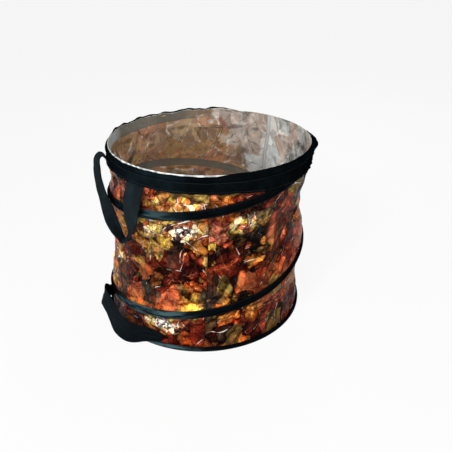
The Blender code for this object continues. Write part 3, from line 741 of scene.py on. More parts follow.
def printed_vinyl(print_group):
    """The film's outer side: the print under clear gloss, with painted light and shade by the way each
    facet lies. Folds show as lines of painted shade and of painted highlight, partly whitened film,
    and bunched-up film as small pale and dark pieces, partly painted glare and shade."""
    f = Finish("printed_vinyl", specular_ior_level=0.02)
    flat = f.flat()
    colour = f.add("ShaderNodeGroup", {"node_tree": print_group}, {"Flat": flat})
    facet = facet_chances(f)
    # Painted shade and painted highlight, one tone to each flat facet, and a reddish tint on some
    # facets.
    colour = f.shade(f.step(facet, 0.42, 0.30) * 0.7, colour, (0.42, 0.34, 0.32))
    colour = f.shade(f.step(facet.also("Green"), 0.66, 0.76) * 0.65, colour, (1.75, 1.65, 1.45))
    colour = f.shade(f.step(facet.also("Blue"), 0.72, 0.78) * 0.6, colour, (1.75, 1.00, 0.90))
    rise = f.mark("rise")
    # Darker towards the bottom, from 8 cm down.
    colour = f.shade(f.step(rise, 0.080, 0.045), colour, (0.60, 0.46, 0.46))
    bunch = f.mark("bunched")
    tilt = f.mark("tilt")
    bent = f.pushed(flat, 0.014, 3.0, 0.5, 0.016)
    # Bunched-up film: small pale and dark pieces, partly painted glare and shade among the print's
    # colours.
    tint = f.ramp(f.cells(bent, SCRAP), [
        (0.0, (0.42, 0.13, 0.026)), (0.17, (0.56, 0.42, 0.15)), (0.34, (0.060, 0.022, 0.024)),
        (0.46, (0.46, 0.30, 0.050)), (0.62, (0.26, 0.055, 0.022)), (0.78, (0.60, 0.50, 0.30)),
        (0.90, (0.110, 0.075, 0.050))], steps=True)
    colour = f.mix(f.step(bunch, 0.30, 0.50) * 0.85, colour, tint)
    # Painted glints and painted shade where the film is bunched up most.
    glare = f.step(f.clouds(flat, 0.008, 3.0, 0.6), 0.46, 0.52)
    bright = f.mix(glare, (0.012, 0.006, 0.010), (0.74, 0.71, 0.67))
    colour = f.mix(f.step(bunch, 1.00, 1.25) * 0.8, colour, bright)
    # Painted shade in the creases between the bunched pieces.
    crease_shade = f.step(f.borders(bent, SCRAP), 0.0011, 0.0003) * f.step(bunch, 0.15, 0.45)
    colour = f.shade(crease_shade * 0.9, colour, (0.08, 0.05, 0.05))
    colour = turned_light(f, colour, 0.85)
    x = f.split(f.where())
    # Painted light on the -X side, towards the window.
    colour = f.shade(f.step(x, -0.16, -0.22), colour, (1.70, 1.45, 1.15))
    # Painted glints on bunched film that faces the window.
    glint = f.step(tilt, -0.05, 0.25) * f.step(bunch, 0.10, 0.50)
    shine = f.borders(f.vectors("ADD", bent, (0.31, 0.17, 0)), 0.016)
    shine = f.step(shine, 0.0009, 0.0003) * f.step(f.clouds(flat, 0.020, 2.0), 0.46, 0.54)
    colour = f.mix(glint * shine * 0.9, colour, (0.95, 0.93, 0.84))
    # Painted shade along the folds.
    colour = f.shade(creases(f, flat, 0.46, 0.0012, 0.0010) * 0.8, colour, (0.12, 0.09, 0.09))
    # Painted highlights along the folds, partly whitened film.
    colour = f.mix(creases(f, flat, 0.62, 0.0, 0.0009) * 0.8, colour, (0.82, 0.75, 0.64))
    off_seam = f.mark("off_seam")
    colour = f.shade(f.step(off_seam, 0.0030, 0.0006) * 0.8, colour, (0.25, 0.19, 0.17))
    haze = f.clouds(flat, 0.025, 3.0)
    return f.wear(colour, 0.08 + 0.14 * haze, film_relief(f, flat))


def vinyl_inside(print_group):
    """The inner side: the print's pale back under milky film. Where tape lies behind it the black
    shows through as grey, and towards +X it is whitest, a painted reflection with some stress
    whitening of the film."""
    f = Finish("vinyl_inside", specular_ior_level=0.10)
    flat = f.flat()
    printed = f.add("ShaderNodeGroup", {"node_tree": print_group}, {"Flat": flat})
    x = f.split(f.where())
    soft = f.clouds(flat, 0.035, 5.0, 0.62, 0.8)
    bent = f.pushed(flat, 0.040, 4.0, 0.6, 0.026)
    piece = f.cells(bent, BACK_PIECE)
    milk = f.ramp(piece, [
        (0.0, (0.250, 0.150, 0.090)), (0.22, (0.240, 0.080, 0.050)), (0.40, (0.330, 0.170, 0.060)),
        (0.56, (0.095, 0.100, 0.080)), (0.68, (0.340, 0.240, 0.150)), (0.86, (0.280, 0.120, 0.060))],
        steps=True)
    milk = f.mix(0.45, milk, f.mix(soft, (0.150, 0.090, 0.060), (0.420, 0.310, 0.210)))
    colour = f.mix(0.84, f.mix(1.0, printed, (1.9, 1.8, 1.8), "MULTIPLY"), milk)
    # Towards +X the film turns pale grey in patches: painted reflection, with some stress whitening.
    clear = f.mix(f.step(soft, 0.34, 0.62), (0.100, 0.112, 0.112), (0.430, 0.460, 0.445))
    clear = f.mix(f.step(piece.also("Green"), 0.48, 0.50) * 0.5, clear, (0.44, 0.30, 0.23))
    clear = f.mix(f.step(piece.also("Blue"), 0.50, 0.52) * 0.6, clear, (0.62, 0.65, 0.64))
    rise = f.mark("rise")
    drift = f.clouds(flat, 0.060, 3.0, 0.6, 0.8)
    pale = f.step(x + (drift - 0.5) * 0.24 + (rise - 0.34) * 0.5, 0.062, 0.080) * 0.88
    colour = f.mix(pale, colour, clear)
    edge = f.borders(bent, BACK_PIECE)
    pale_edge = f.step(edge, 0.0030, 0.0012) * f.step(soft, 0.50, 0.58)
    colour = f.mix(pale_edge * 0.5, colour, (0.62, 0.58, 0.52))
    dark_edge = f.step(edge, 0.0010, 0.0002) * f.step(soft, 0.50, 0.42)
    colour = f.shade(dark_edge * 0.7, colour, (0.25, 0.22, 0.20))
    facet = facet_chances(f)
    # Painted shade and painted highlight, one tone to each flat facet.
    colour = f.shade(f.step(facet, 0.34, 0.26) * 0.5, colour, (0.52, 0.48, 0.46))
    colour = f.shade(f.step(facet.also("Green"), 0.72, 0.80) * 0.5, colour, (1.50, 1.50, 1.45))
    colour = turned_light(f, colour, 0.75)
    # Painted light towards +X.
    colour = f.shade(f.step(x, 0.15, 0.21), colour, (1.35, 1.35, 1.35))
    # Painted shade along the folds.
    colour = f.shade(creases(f, flat, 0.56, 0.0014, 0.0014) * 0.8, colour, (0.12, 0.12, 0.12))
    # Painted highlights along the folds, partly whitened film.
    colour = f.mix(creases(f, flat, 0.60, 0.0, 0.0014) * 0.4, colour, (0.80, 0.77, 0.72))
    off_coil = f.mark("off_coil")
    behind = f.step(off_coil, SLEEVE_HALF + 0.0006, SLEEVE_HALF - 0.0006) * 0.88
    hem = f.step(off_coil, SLEEVE_HALF - 0.0016, SLEEVE_HALF) * behind
    band_edge = 0.389 + x * 0.03
    band = f.step(rise - band_edge, -0.0006, 0.0006) * (0.88 - 0.75 * f.step(x, -0.06, 0.06))
    colour = f.mix(behind.then("MAXIMUM", band), colour, (0.098, 0.095, 0.078))
    colour = f.shade(hem * 0.8, colour, (0.30, 0.30, 0.30))
    band_hem = f.step(abs(rise - band_edge), 0.0012, 0.0004) * band
    colour = f.shade(band_hem, colour, (0.30, 0.30, 0.30))
    # Painted light on the -X side.
    colour = f.shade(f.step(x, -0.09, -0.17) * 0.8, colour, (1.95, 2.10, 2.25))
    # Painted reflection at the mouth's far left corner.
    corner = f.step(x, -0.192, -0.206) * f.step(rise, 0.380, 0.386)
    colour = f.mix(corner * 0.9, colour, f.mix(soft, (0.30, 0.36, 0.37), (0.75, 0.80, 0.80)))
    return f.wear(colour, 0.26 + 0.20 * soft, film_relief(f, flat) * 0.35)


def cut_vinyl():
    """The film's cut edge, which catches the light as a thin milky line, broken where it is dirty."""
    f = Finish("cut_vinyl", coat_weight=0.5, coat_roughness=0.15)
    milk = f.clouds(f.where(), 0.010, 3.0)
    colour = f.mix(f.step(milk, 0.36, 0.64), (0.26, 0.27, 0.26), (0.74, 0.74, 0.72))
    return f.wear(colour, 0.25 + 0.2 * milk, milk * 0.0002)


def shell(outside, inside, across, along):
    """A closed grid of points from a sheet's two faces, and each one's place on the flat cloth."""
    flat = np.stack(np.broadcast_arrays(across, along), axis=-1)
    flat = np.concatenate((flat, flat[:, ::-1], flat[:, :1]), axis=1)
    return np.concatenate((outside, inside[:, ::-1]), axis=1), flat


leaves = leaf_print()
film = [printed_vinyl(leaves), vinyl_inside(leaves), cut_vinyl()]
slit = 0.00005 / RIM_RADIUS
heights = np.linspace(WALL_FOOT, HEIGHT - 0.0040, WALL_ROWS)
heights = np.concatenate((heights, [HEIGHT - 0.0008, HEIGHT]))
flats = {}
for name, start, end, shift in (
    ("wall_panel_wide", SEAM_BACK, SEAM_FRONT, 0.0),
    ("wall_panel_narrow", SEAM_FRONT, SEAM_BACK + TURN, 0.37),
):
    columns = round((end - start) * RIM_RADIUS / GRID)
    angles = np.linspace(start + slit, end - slit, columns)[:, None]
    face, off_coil, out = wall_face(angles, heights[None, :])
    outside = place(angles, face, heights[None, :])
    inside = place(angles, face - WALL_THICKNESS, heights[None, :])
    grid, flat = shell(outside, inside, angles * RIM_RADIUS + shift, heights[None, :])
    count = len(heights)
    kinds = [0] * (count - 3) + [2] * 4 + [1] * (count - 2) + [0]  # outside, edge, inside, foot
    marks = wall_marks(angles, heights[None, :], off_coil, out)
    panel = skin(name + "_film", grid, flat, film, kinds=kinds, marks=marks, sharp=75)
    dress(panel, "base", "printed_vinyl", name)
    flats[panel] = ((end - start) * (RIM_RADIUS + BASE_RADIUS) / 2, HEIGHT + 0.012)

# Seams: the panels' two upright edges are joined by a strip of clear film inside, sewn down with a
# line of dark thread on each side. The thread goes through and shows as a row of stitches outside.
SEAM_WIDTH = 0.012
SEAM_THICKNESS = 0.0006
SEAM_ROW = 0.0042  # distance of each row of stitches from the seam
ROW_LOW = 0.012  # heights between which the rows run
ROW_HIGH = 0.404
STITCH_PITCH = 0.0042


def sewing():
    """A tree that lays one stitch after another along a line of edges: a soft bar of thread that
    dips in at both ends, each a little longer, shorter or more askew than the last."""
    tree = bpy.data.node_groups.new("sewing", "GeometryNodeTree")
    for name, kind in (("Line", "Geometry"), ("Pitch", "Float"), ("Length", "Float"),
                       ("Thread Radius", "Float"), ("Unevenness", "Float"), ("Seed", "Int"),
                       ("Thread", "Material")):
        tree.interface.new_socket(name, in_out="INPUT", socket_type="NodeSocket" + kind)
    tree.interface.new_socket("Stitches", in_out="OUTPUT", socket_type="NodeSocketGeometry")
    f = Recipe(tree)
    given = f.add("NodeGroupInput", output="Line")
    line = f.add("GeometryNodeMeshToCurve", {}, {"Mesh": given})
    points = f.add("GeometryNodeCurveToPoints", {"mode": "LENGTH"},
                   {"Curve": line, "Length": given.also("Pitch")})
    along = f.add("FunctionNodeAlignRotationToVector", {"axis": "Z"},
                  {"Vector": points.also("Tangent")})
    rest = given.also("Unevenness") * -1
    askew = f.add("FunctionNodeRandomValue", {"data_type": "FLOAT_VECTOR"},
                  {"Min": (-0.10, -0.10, 0.0), "Max": (0.10, 0.10, 0.0), "Seed": given.also("Seed")})
    turned = f.add("FunctionNodeRotateRotation", {"rotation_space": "LOCAL"},
                   {"Rotation": along, "Rotate By": askew})
    longer = f.add("FunctionNodeRandomValue", {"data_type": "FLOAT"},
                   {2: rest, 3: given.also("Unevenness"), "Seed": given.also("Seed") + 7}, 1)
    half = given.also("Length") * 0.5 * (1 + longer)
    radius = given.also("Thread Radius")
    size = f.add("ShaderNodeCombineXYZ", {}, {"X": radius, "Y": radius, "Z": half})
    bar = f.add("GeometryNodeMeshUVSphere", {}, {"Segments": 6, "Rings": 5, "Radius": 1.0})
    laid = f.add("GeometryNodeInstanceOnPoints", {},
                 {"Points": points, "Instance": bar, "Rotation": turned, "Scale": size})
    real = f.add("GeometryNodeRealizeInstances", {}, {"Geometry": laid})
    smooth = f.add("GeometryNodeSetShadeSmooth", {}, {"Geometry": real})
    coloured = f.add("GeometryNodeSetMaterial", {},
                     {"Geometry": smooth, "Material": given.also("Thread")})
    f.feed(f.add("NodeGroupOutput"), "Stitches", coloured)
    return tree


def sew(name, lines, thread, body, pitch=STITCH_PITCH, radius=0.00034, seed=1):
    """Rows of stitches along lines of points, as one plain mesh that rides on a body."""
    points = [tuple(p) for line in lines for p in line]
    edges, first = [], 0
    for line in lines:
        edges += [(first + k, first + k + 1) for k in range(len(line) - 1)]
        first += len(line)
    guide = bpy.data.meshes.new(name + "_line")
    guide.from_pydata(points, edges, [])
    made = bpy.data.objects.new(name, guide)
    bpy.context.scene.collection.objects.link(made)
    modifier = made.modifiers.new("sewing", "NODES")
    modifier.node_group = SEWING
    sizes = {"Pitch": pitch, "Length": pitch * 0.76, "Thread Radius": radius, "Unevenness": 0.12,
             "Seed": seed, "Thread": thread}
    for item in SEWING.interface.items_tree:
        if item.name in sizes:
            modifier[item.identifier] = sizes[item.name]
    bpy.context.view_layer.update()
    done = made.evaluated_get(bpy.context.evaluated_depsgraph_get())
    mesh = bpy.data.meshes.new_from_object(done)
    made.modifiers.remove(modifier)
    made.data = mesh
    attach(made, body)
    return made


def thread_of(name, dark, light):
    """Twisted sewing thread: the plies show as fine slanting lines."""
    f = Finish(name, specular_ior_level=0.05)
    where = f.where()
    twist = f.add("ShaderNodeTexWave", {"bands_direction": "DIAGONAL"},
                  {"Vector": where, "Scale": 900.0, "Distortion": 1.5}, "Fac")
    return f.wear(f.mix(twist, dark, light), 0.55 + 0.2 * twist, twist * 0.00008)


def clear_vinyl():
    """Clear film with nothing printed on it, gone milky, with fine lines where it was pulled."""
    f = Finish("clear_vinyl", coat_weight=0.5, coat_roughness=0.18)
    flat = f.flat()
    milk = f.clouds(flat, 0.016, 5.0, 0.6, 1.0)
    pulled = f.step(abs(f.clouds(flat, 0.008, 3.0, 0.5, 1.5) - 0.5), 0.0, 0.08)
    colour = f.mix(milk, (0.330, 0.325, 0.310), (0.560, 0.560, 0.540))
    return f.wear(colour, 0.25 + 0.2 * milk, milk * 0.0012 - pulled * 0.0003)


SEWING = sewing()
clear = clear_vinyl()
grey_thread = thread_of("grey_thread", (0.004, 0.004, 0.004), (0.020, 0.019, 0.018))
seam_heights = heights[:-1]
seam_half = SEAM_WIDTH / (2 * RIM_RADIUS)
for side, middle in (("front", SEAM_FRONT), ("back", SEAM_BACK)):
    name = f"seam_strip_{side}"
    angles = middle + np.linspace(-seam_half, seam_half, 9)[:, None]
    face = wall_face(angles, seam_heights[None, :])[0]
    face = face - WALL_THICKNESS - GAP
    thick = SEAM_THICKNESS * (1 - 0.5 * np.abs(np.linspace(-1, 1, 9))[:, None] ** 6)
    shut = face - thick
    outside, inside = place(angles, face, seam_heights), place(angles, shut, seam_heights)
    grid, flat = shell(outside, inside, angles * RIM_RADIUS, seam_heights[None, :])
    strip = dress(skin(name + "_film", grid, flat, [clear]), "base", "clear_vinyl", name)
    rows = []
    for beside in (-SEAM_ROW, SEAM_ROW):
        a = np.array([[middle + beside / RIM_RADIUS]])
        z = np.linspace(ROW_LOW, ROW_HIGH, 140)[None, :]
        row = wall_face(a, z)[0]
        rows.append(place(a, row - WALL_THICKNESS - GAP - SEAM_THICKNESS, z)[0])
        rows.append(place(a, row + 0.0001, np.clip(z, 0, BAND_LOW - 0.001))[0])
    stitches = sew(f"seam_stitches_{side}", rows, grey_thread, "base", seed=3)
    for piece in (strip, stitches):
        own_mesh(piece)
for panel, flat in flats.items():
    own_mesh(panel)

# Coil: 3 mm spring wire wound in an open helix from the piping to the rim band. A black tape
# sleeve is sewn to the wall over it, with a row of stitches on each side of the wire.
WIRE_RADIUS = 0.0015
WIRE_OUT = 0.0021  # from the wall's line to the middle of the wire
SLEEVE_RIDGE = 0.0039
SLEEVE_ROW = 0.0082  # distance of each row of stitches from the wire
SLEEVE_SECTIONS = 900
WIRE_SECTIONS = 420
ROW_POINTS = 700
SLEEVE_END = 0.3762  # heights at which the sleeve, the wire and the two rows end
WIRE_END = 0.3680
LOWER_ROW_END = 0.3760
UPPER_ROW_END = 0.3625


def coil_line(low, high, points):
    """Angles, unwound, at which the coil lies between two heights."""
    angles = np.linspace(-2 * TURN, 2 * TURN, 20000)
    z = coil_height(angles, 0)
    inside = angles[(z >= low) & (z <= high)]
    return np.linspace(inside[0], inside[-1], points)


def sleeve_out(angle, beside):
    """How far the sleeve's outer face stands from the wall's line, beside the wire by so much.
    It puckers between stitches."""
    arc = angle * RIM_RADIUS
    ridge = SLEEVE_RIDGE * np.exp(-((beside / 0.0033) ** 2))
    pucker = 0.00055 * np.abs(noise(arc / 0.008, beside / 0.006, 31))
    pucker = pucker * ease(np.abs(beside), 0.002, 0.008)
    drag = 0.00045 * noise(arc / 0.014 + beside / 0.006, beside / 0.012, 32)
    drag = drag * ease(SLEEVE_HALF - np.abs(beside), 0, 0.004)
    return GAP + TAPE_THICKNESS + ridge + pucker + np.clip(drag, 0, 1)


turns = coil_line(COIL_LOW, SLEEVE_END, SLEEVE_SECTIONS)[:, None]
middle = coil_height(turns, 0)
upper = np.minimum(SLEEVE_HALF + 0.0006 * noise(turns * 14, 0.3, 33), SLEEVE_LIMIT - middle)
lower = SLEEVE_HALF + 0.0006 * noise(turns * 14, 0.8, 34)
share = np.linspace(0, 1, 19)[None, :]
beside = -lower + (upper + lower) * share
out = sleeve_out(turns, beside)
beneath = out - TAPE_THICKNESS
z = middle + beside
outside = place(turns, wall_line(z) + out, z)
inside = place(turns, wall_line(z) + beneath, z)
grid, flat = shell(outside, inside, share * 2 * SLEEVE_HALF, turns * RIM_RADIUS)
sleeve = dress(skin("coil_sleeve_tape", grid, flat, [tape]), "base", "black_tape", "coil_sleeve")

turns = coil_line(COIL_LOW, WIRE_END, WIRE_SECTIONS)[:, None]
middle = coil_height(turns, 0)
round_wire = np.linspace(0, TURN, 10, endpoint=False)[None, :]
z = middle + WIRE_RADIUS * np.sin(round_wire)
wire = place(turns, wall_line(middle) + WIRE_OUT + WIRE_RADIUS * np.cos(round_wire), z)
girth = np.linspace(0, TURN * WIRE_RADIUS, 11)[None, :]
flat = np.stack(np.broadcast_arrays(girth, turns * RIM_RADIUS), axis=-1)
spring = dress(skin("coil_wire", wire, flat, [steel]), "base", "spring_steel", "coil_spring")

black_thread = thread_of("black_thread", (0.006, 0.008, 0.009), (0.030, 0.038, 0.042))
rows = []
for beside, end in ((-SLEEVE_ROW, LOWER_ROW_END), (SLEEVE_ROW, UPPER_ROW_END)):
    turns = coil_line(COIL_LOW, end, ROW_POINTS)
    z = coil_height(turns, 0) + beside
    rows.append(place(turns, wall_line(z) + sleeve_out(turns, beside), z))
sleeve_stitches = sew("coil_sleeve_stitches", rows, black_thread, "base", seed=5)
for piece in (sleeve, spring, sleeve_stitches):
    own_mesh(piece)

z = np.full(ROW_POINTS, PIPING_TOP - 0.0012)
row = place(np.linspace(0, TURN, ROW_POINTS), wall_line(z) + 0.0030, z)
sew("piping_stitches", [row], black_thread, "base", seed=7)

# Rim band: a wide black tape folded over the mouth's edge and sewn below. Its upper hem holds the
# rim ring, a spring wire closed by a ferrule. The film's cut edge stands above it at the left, and
# at the right the band laps over the edge above and over the end of the coil's sleeve below.
BAND_TOP = 0.4076
BAND_RIDGE = 0.0047
BAND_HEM = 0.0075  # height of the hem that the wire lies in
BAND_LUMP = 0.0090  # where it lies over the right handle's root
BAND_ROW = 0.0038  # height of the lower row of stitches above the band's edge
BAND_POINTS = 900


def band_edges(angle):
    """Heights of the band's top, which laps over the film's edge at the right of the front and at
    the left of the back, and of its lower edge, which hangs lowest at the right of the front."""
    turned = np.mod(angle, TURN)
    right = ease(turned, 4.72, 4.95) + ease(turned, 0.25, 0.12)
    back = ease(turned, 1.25, 1.40) * ease(turned, 3.10, 2.95)
    top = BAND_TOP + 0.0008 * noise(turned * 9, 0.1, 45) + 0.0040 * right
    top = top + back * (0.0062 + 0.0016 * noise(turned * 11, 0.5, 44))
    low = BAND_LOW + 0.0012 * noise(turned * 4, 0.5, 43) * np.sin(turned / 2)
    return top, low - 0.0085 * ease(turned, 4.85, 5.35) * ease(turned, 6.25, 5.95)


def band_out(angle, z):
    """How far the band's outer face stands from the wall's line: the hem over the wire, a skirt
    that ripples in soft drag folds, a turned lower edge, and the lump of the sleeve's end."""
    turned = np.mod(angle, TURN)
    period = round(TURN * RIM_RADIUS / 0.036)
    wave = turned / TURN * period
    hem = BAND_RIDGE * np.exp(-(((z - RING_HEIGHT) / 0.0042) ** 2))
    skirt = ease(RING_HEIGHT - 0.003 - z, 0, 0.010)
    slant = (z - BAND_LOW) / 0.030
    folds = 1 - np.abs(noise(wave + slant * 1.3, slant * 0.8, 41, period)) * 2.4
    ripple = noise(wave * 3, slant * 1.5, 42, period * 3)
    edge = 0.0009 * ease(band_edges(angle)[1] + 0.0065 - z, 0, 0.0012)
    drape = 0.0032 * np.clip(folds, 0, 1) ** 1.5 + 0.0013 * np.abs(ripple)
    aside = np.mod(turned + math.pi, TURN) - math.pi + 0.10
    lump = BAND_LUMP * np.exp(-((aside / 0.17) ** 2)) * ease(z, BAND_LOW + 0.002, BAND_LOW + 0.022)
    out = GAP + TAPE_THICKNESS + hem + skirt * drape + edge + lump
    sleeve = SLEEVE_RIDGE * np.exp(-(((z - coil_height(turned, 0)) / 0.0045) ** 2))
    over = ease(turned, 5.20, 5.32) * ease(turned, 5.80, 5.68)
    over = over * ease(SLEEVE_LIMIT + 0.007 - z, 0, 0.006)
    out = np.maximum(out, over * (2 * GAP + 2 * TAPE_THICKNESS + 0.0012 + sleeve))
    return out - (out + 0.0004) * ease(z, HEIGHT + 0.0002, HEIGHT + 0.0011)


def band_outline(angles):
    """The band's section, down its outer face and back up its inner one."""
    top, low = band_edges(angles)
    hem = np.linspace(0, BAND_HEM, 10)[None, :]
    share = np.linspace(0, 1, 28)[None, 1:]
    z = np.concatenate((top - hem, top - BAND_HEM + (low - top + BAND_HEM) * share), axis=1)
    out = band_out(angles, z)
    out = np.concatenate((out, out[:, ::-1] - TAPE_THICKNESS), axis=1)
    return out, np.concatenate((z, z[:, ::-1]), axis=1)


tape_round("rim_band_tape", band_outline, tape, "rim", "rim_band")
rows = []
angles = np.linspace(0, TURN, BAND_POINTS)
upper_row = np.full(BAND_POINTS, RING_HEIGHT - 0.0078)
for height in (band_edges(angles)[1] + BAND_ROW, upper_row):
    rows.append(place(angles, wall_line(height) + band_out(angles, height), height))
sew("rim_band_stitches", rows, black_thread, "rim", seed=9)

# Carry handles: 50 mm polypropylene webbing, its ends sewn flat under the rim band. Along the grip
# its two sides are folded back behind the middle, so it is narrower and four layers soft.
WEBBING_WIDTH = 0.050
WEBBING_THICKNESS = 0.0018
GRIP_WIDTH = 0.026
FOLD_RADIUS = 0.0013  # of the webbing's middle layer where a side folds back
LEFT_START = math.radians(196.5)  # angle of each handle's back root
RIGHT_START = math.radians(12)
CARRY_ROOTS = (6, 41 / 3)  # places along the route where the loop leaves its sewn ends
STEPS = 12  # sections to each stretch of a route
ACROSS = 33  # points across the webbing
CARRY_ROUTE = np.array([  # degrees, stand-off, rise, twist, tip, share folded
    (0.0, 0.000, 0.000, 0, 0, 0.0),
    (0.1, 0.002, 0.006, -1, 0, 0.2),
    (0.3, 0.004, 0.016, -3, 0, 0.6),
    (0.6, 0.009, 0.025, -5, 0, 0.9),
    (1.2, 0.017, 0.029, -8, 0, 1.2),
    (2.4, 0.026, 0.020, -14, 0, 1.2),
    (4.5, 0.028, -0.006, -20, 0, 1.2),
    (8.0, 0.026, -0.036, -24, 0, 1.2),
    (13.0, 0.021, -0.070, -34, -8, 1.15),
    (20.0, 0.018, -0.102, -62, -20, 1.1),
    (28.0, 0.018, -0.123, -100, -28, 1.1),
    (32.0, 0.019, -0.106, -140, -10, 0.8),
    (32.8, 0.016, -0.074, -168, 0, 0.3),
    (32.9, 0.011, -0.038, -178, 0, 0.0),
    (33.0, 0.004, -0.010, -180, 0, 0.0),
    (33.0, 0.000, 0.000, -180, 0, 0.0),
])


def unit(vectors):
    return vectors / np.linalg.norm(vectors, axis=-1, keepdims=True)


def smooth_route(route):
    """The route's rows with more between them, on a smooth curve through them all."""
    ends = np.concatenate((route[:1], route, route[-1:]))
    spots = np.arange(STEPS * (len(route) - 1) + 1)
    k = np.minimum(spots // STEPS, len(route) - 2)
    u = (spots / STEPS - k)[:, None]
    a, b, c, d = (ends[k + n] for n in range(4))
    curve = b + u * (c - a) / 2 + u**2 * (2 * a - 5 * b + 4 * c - d) / 2
    return curve + u**3 * (3 * b - a - 3 * c + d) / 2


def strap_frames(route, roots, along_hinge):
    """For each section of a strap: its middle, the way across it and the way it faces. Rows of the
    route are angle, stand-off from the wall, height, twist, tip and width. At the two roots it
    turns to lie along the hinge line, or square to the line where it runs along it."""
    angle, off, z, twist, tip, _ = route.T
    zero = np.zeros_like(angle)
    out = np.stack((np.cos(angle), np.sin(angle), zero), axis=-1)
    along = np.stack((-np.sin(angle), np.cos(angle), zero), axis=-1)
    middle = np.stack((LEAN[0] * z / HEIGHT, LEAN[1] * z / HEIGHT, z), axis=-1)
    middle = middle + (wall_line(z) + off)[:, None] * out
    level = np.cos(twist)[:, None] * along + np.sin(twist)[:, None] * out
    across = np.cos(tip)[:, None] * level + np.sin(tip)[:, None] * np.array((0, 0, 1))
    padded = np.concatenate((middle[:1], middle, middle[-1:]))
    run = unit(padded[2:] - padded[:-2])
    at = [round(root * STEPS) for root in roots]
    hinge = unit(middle[at[1]] - middle[at[0]])
    for root in at:
        near = ease(np.abs(np.arange(len(angle)) - root), 7, 0)[:, None]
        if along_hinge:
            run = unit(run + near * (np.sign(run[root] @ hinge) * hinge - run))
        else:
            across = unit(across + near * (np.sign(across[root] @ hinge) * hinge - across))
            run = unit(run - near * (run @ hinge)[:, None] * hinge)
    across = unit(across - np.sum(across * run, axis=1)[:, None] * run)
    return middle, across, np.cross(run, across), at


def folded_lines(width):
    """The middle line of the webbing's section where its flat part has this width and the rest of
    the webbing is folded back behind it: places across, and places in front."""
    s = np.linspace(-1, 1, ACROSS)[None, :] * WEBBING_WIDTH / 2
    flat_half = np.minimum(width[:, None] / 2, WEBBING_WIDTH / 2)
    past = np.abs(s) - flat_half
    bend = np.clip(past / FOLD_RADIUS, 0, math.pi)
    back = np.clip(past - math.pi * FOLD_RADIUS, 0, None)
    x = np.where(past > 0, flat_half + FOLD_RADIUS * np.sin(bend) - back, np.abs(s)) * np.sign(s)
    y = np.where(past > 0, -FOLD_RADIUS * (1 - np.cos(bend)) + back * 0.03, 0)
    return x, y


def thicken(x, y, thick):
    """A closed section round a middle line, half its thickness to each side."""
    dx, dy = np.gradient(x, axis=1), np.gradient(y, axis=1)
    length = np.sqrt(dx**2 + dy**2) + 1e-12
    side_x, side_y = -dy / length * thick / 2, dx / length * thick / 2
    front_x, front_y = x + side_x, y + side_y
    back_x, back_y = x - side_x, y - side_y
    return (np.concatenate((front_x, back_x[:, ::-1]), axis=1),
            np.concatenate((front_y, back_y[:, ::-1]), axis=1))


def webbing():
    """Black webbing: thick ribs of yarn across it, crossed by finer ones, with rolled edges, a painted
    grey sheen on the ribs, stronger where worn, and painted shade that darkens it towards the bottom."""
    f = Finish("webbing", sheen_weight=0.02, sheen_roughness=0.35, sheen_tint=(0.45, 0.78, 0.90),
               specular_ior_level=0.015)
    flat = f.flat()
    across = f.split(flat)
    along = across.also("Y")
    column = (across * (TURN / 0.0025)).then("SINE")
    shift = f.step(column, -0.2, 0.2) * 0.5
    rib = ((along / 0.0016 + shift) * TURN).then("SINE")
    edge = f.step(abs(across), WEBBING_WIDTH / 2 - 0.0028, WEBBING_WIDTH / 2 - 0.0022)
    lint = f.clouds(flat, 0.014, 6.0, 0.65)
    worn = f.step(f.clouds(flat, 0.045, 3.0, 0.5, 0.8), 0.42, 0.75)
    # Painted sheen on the ribs, stronger where worn.
    high = f.step(rib, 0.0, 0.9) * (0.3 + 0.7 * worn)
    z = f.split(f.where()).also("Z")
    # Painted shade: darker towards the bottom, below 26 cm.
    painted_light_by_height = 0.2 + 0.8 * f.step(z, 0.10, 0.26)
    colour = f.mix(lint, (0.0008, 0.0012, 0.0015), (0.0060, 0.0095, 0.0118))
    colour = f.shade(1 - painted_light_by_height, colour, (0.30, 0.36, 0.42))
    colour = f.mix(high * painted_light_by_height * 0.6, colour, (0.0300, 0.0460, 0.0540))
    relief = rib * 0.00020 + abs(column) * 0.00012 + edge * 0.00025 + lint * 0.0003
    return f.wear(colour, 0.62 + 0.25 * lint, relief)


def make_strap(name, route, roots, along_hinge, section, root_body, slack=0.0):
    """A strap's two sewn ends, which ride on root_body, and the loop between them, each its own
    piece. section gives the webbing's outline at every step of the route, and where slack is not
    zero the loop gets its own copy of its mesh."""
    route = smooth_route(route)
    middle, across, facing, at = strap_frames(route, roots, along_hinge)
    x, y = section(route[:, 5])
    points = middle[:, None] + x[..., None] * across[:, None] + y[..., None] * facing[:, None]
    length = np.concatenate(([0], np.cumsum(np.linalg.norm(np.diff(middle, axis=0), axis=1))))
    s = np.linspace(-1, 1, ACROSS) * WEBBING_WIDTH / 2
    s = np.concatenate((s, s[::-1], s[:1]))
    flat = np.stack((s + 0 * length[:, None], length[:, None] + 0 * s), axis=-1)
    for part, start, end, rides in (
        ("root_back", 0, at[0] + 1, root_body),
        ("strap", at[0], at[1] + 1, name),
        ("root_front", at[1], None, root_body),
    ):
        cut = points[start:end].copy()
        piece = skin(f"{name}_{part}_webbing", cut, flat[start:end], [black_webbing])
        dress(piece, rides, "black_webbing", f"{name}_{part}")
        if part == "strap" and slack:
            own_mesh(piece)


def carry_section(width):
    """The webbing folded back along both sides, a little uneven."""
    x, y = folded_lines(width)
    steps = np.arange(len(width))[:, None]
    crown = 0.0012 * (1 - (x / 0.025) ** 2) * noise(steps / 22, 0.4, 51)
    wave = 0.0007 * noise(steps / 9, x / 0.012, 52)
    return thicken(x, y + crown + wave, WEBBING_THICKNESS)


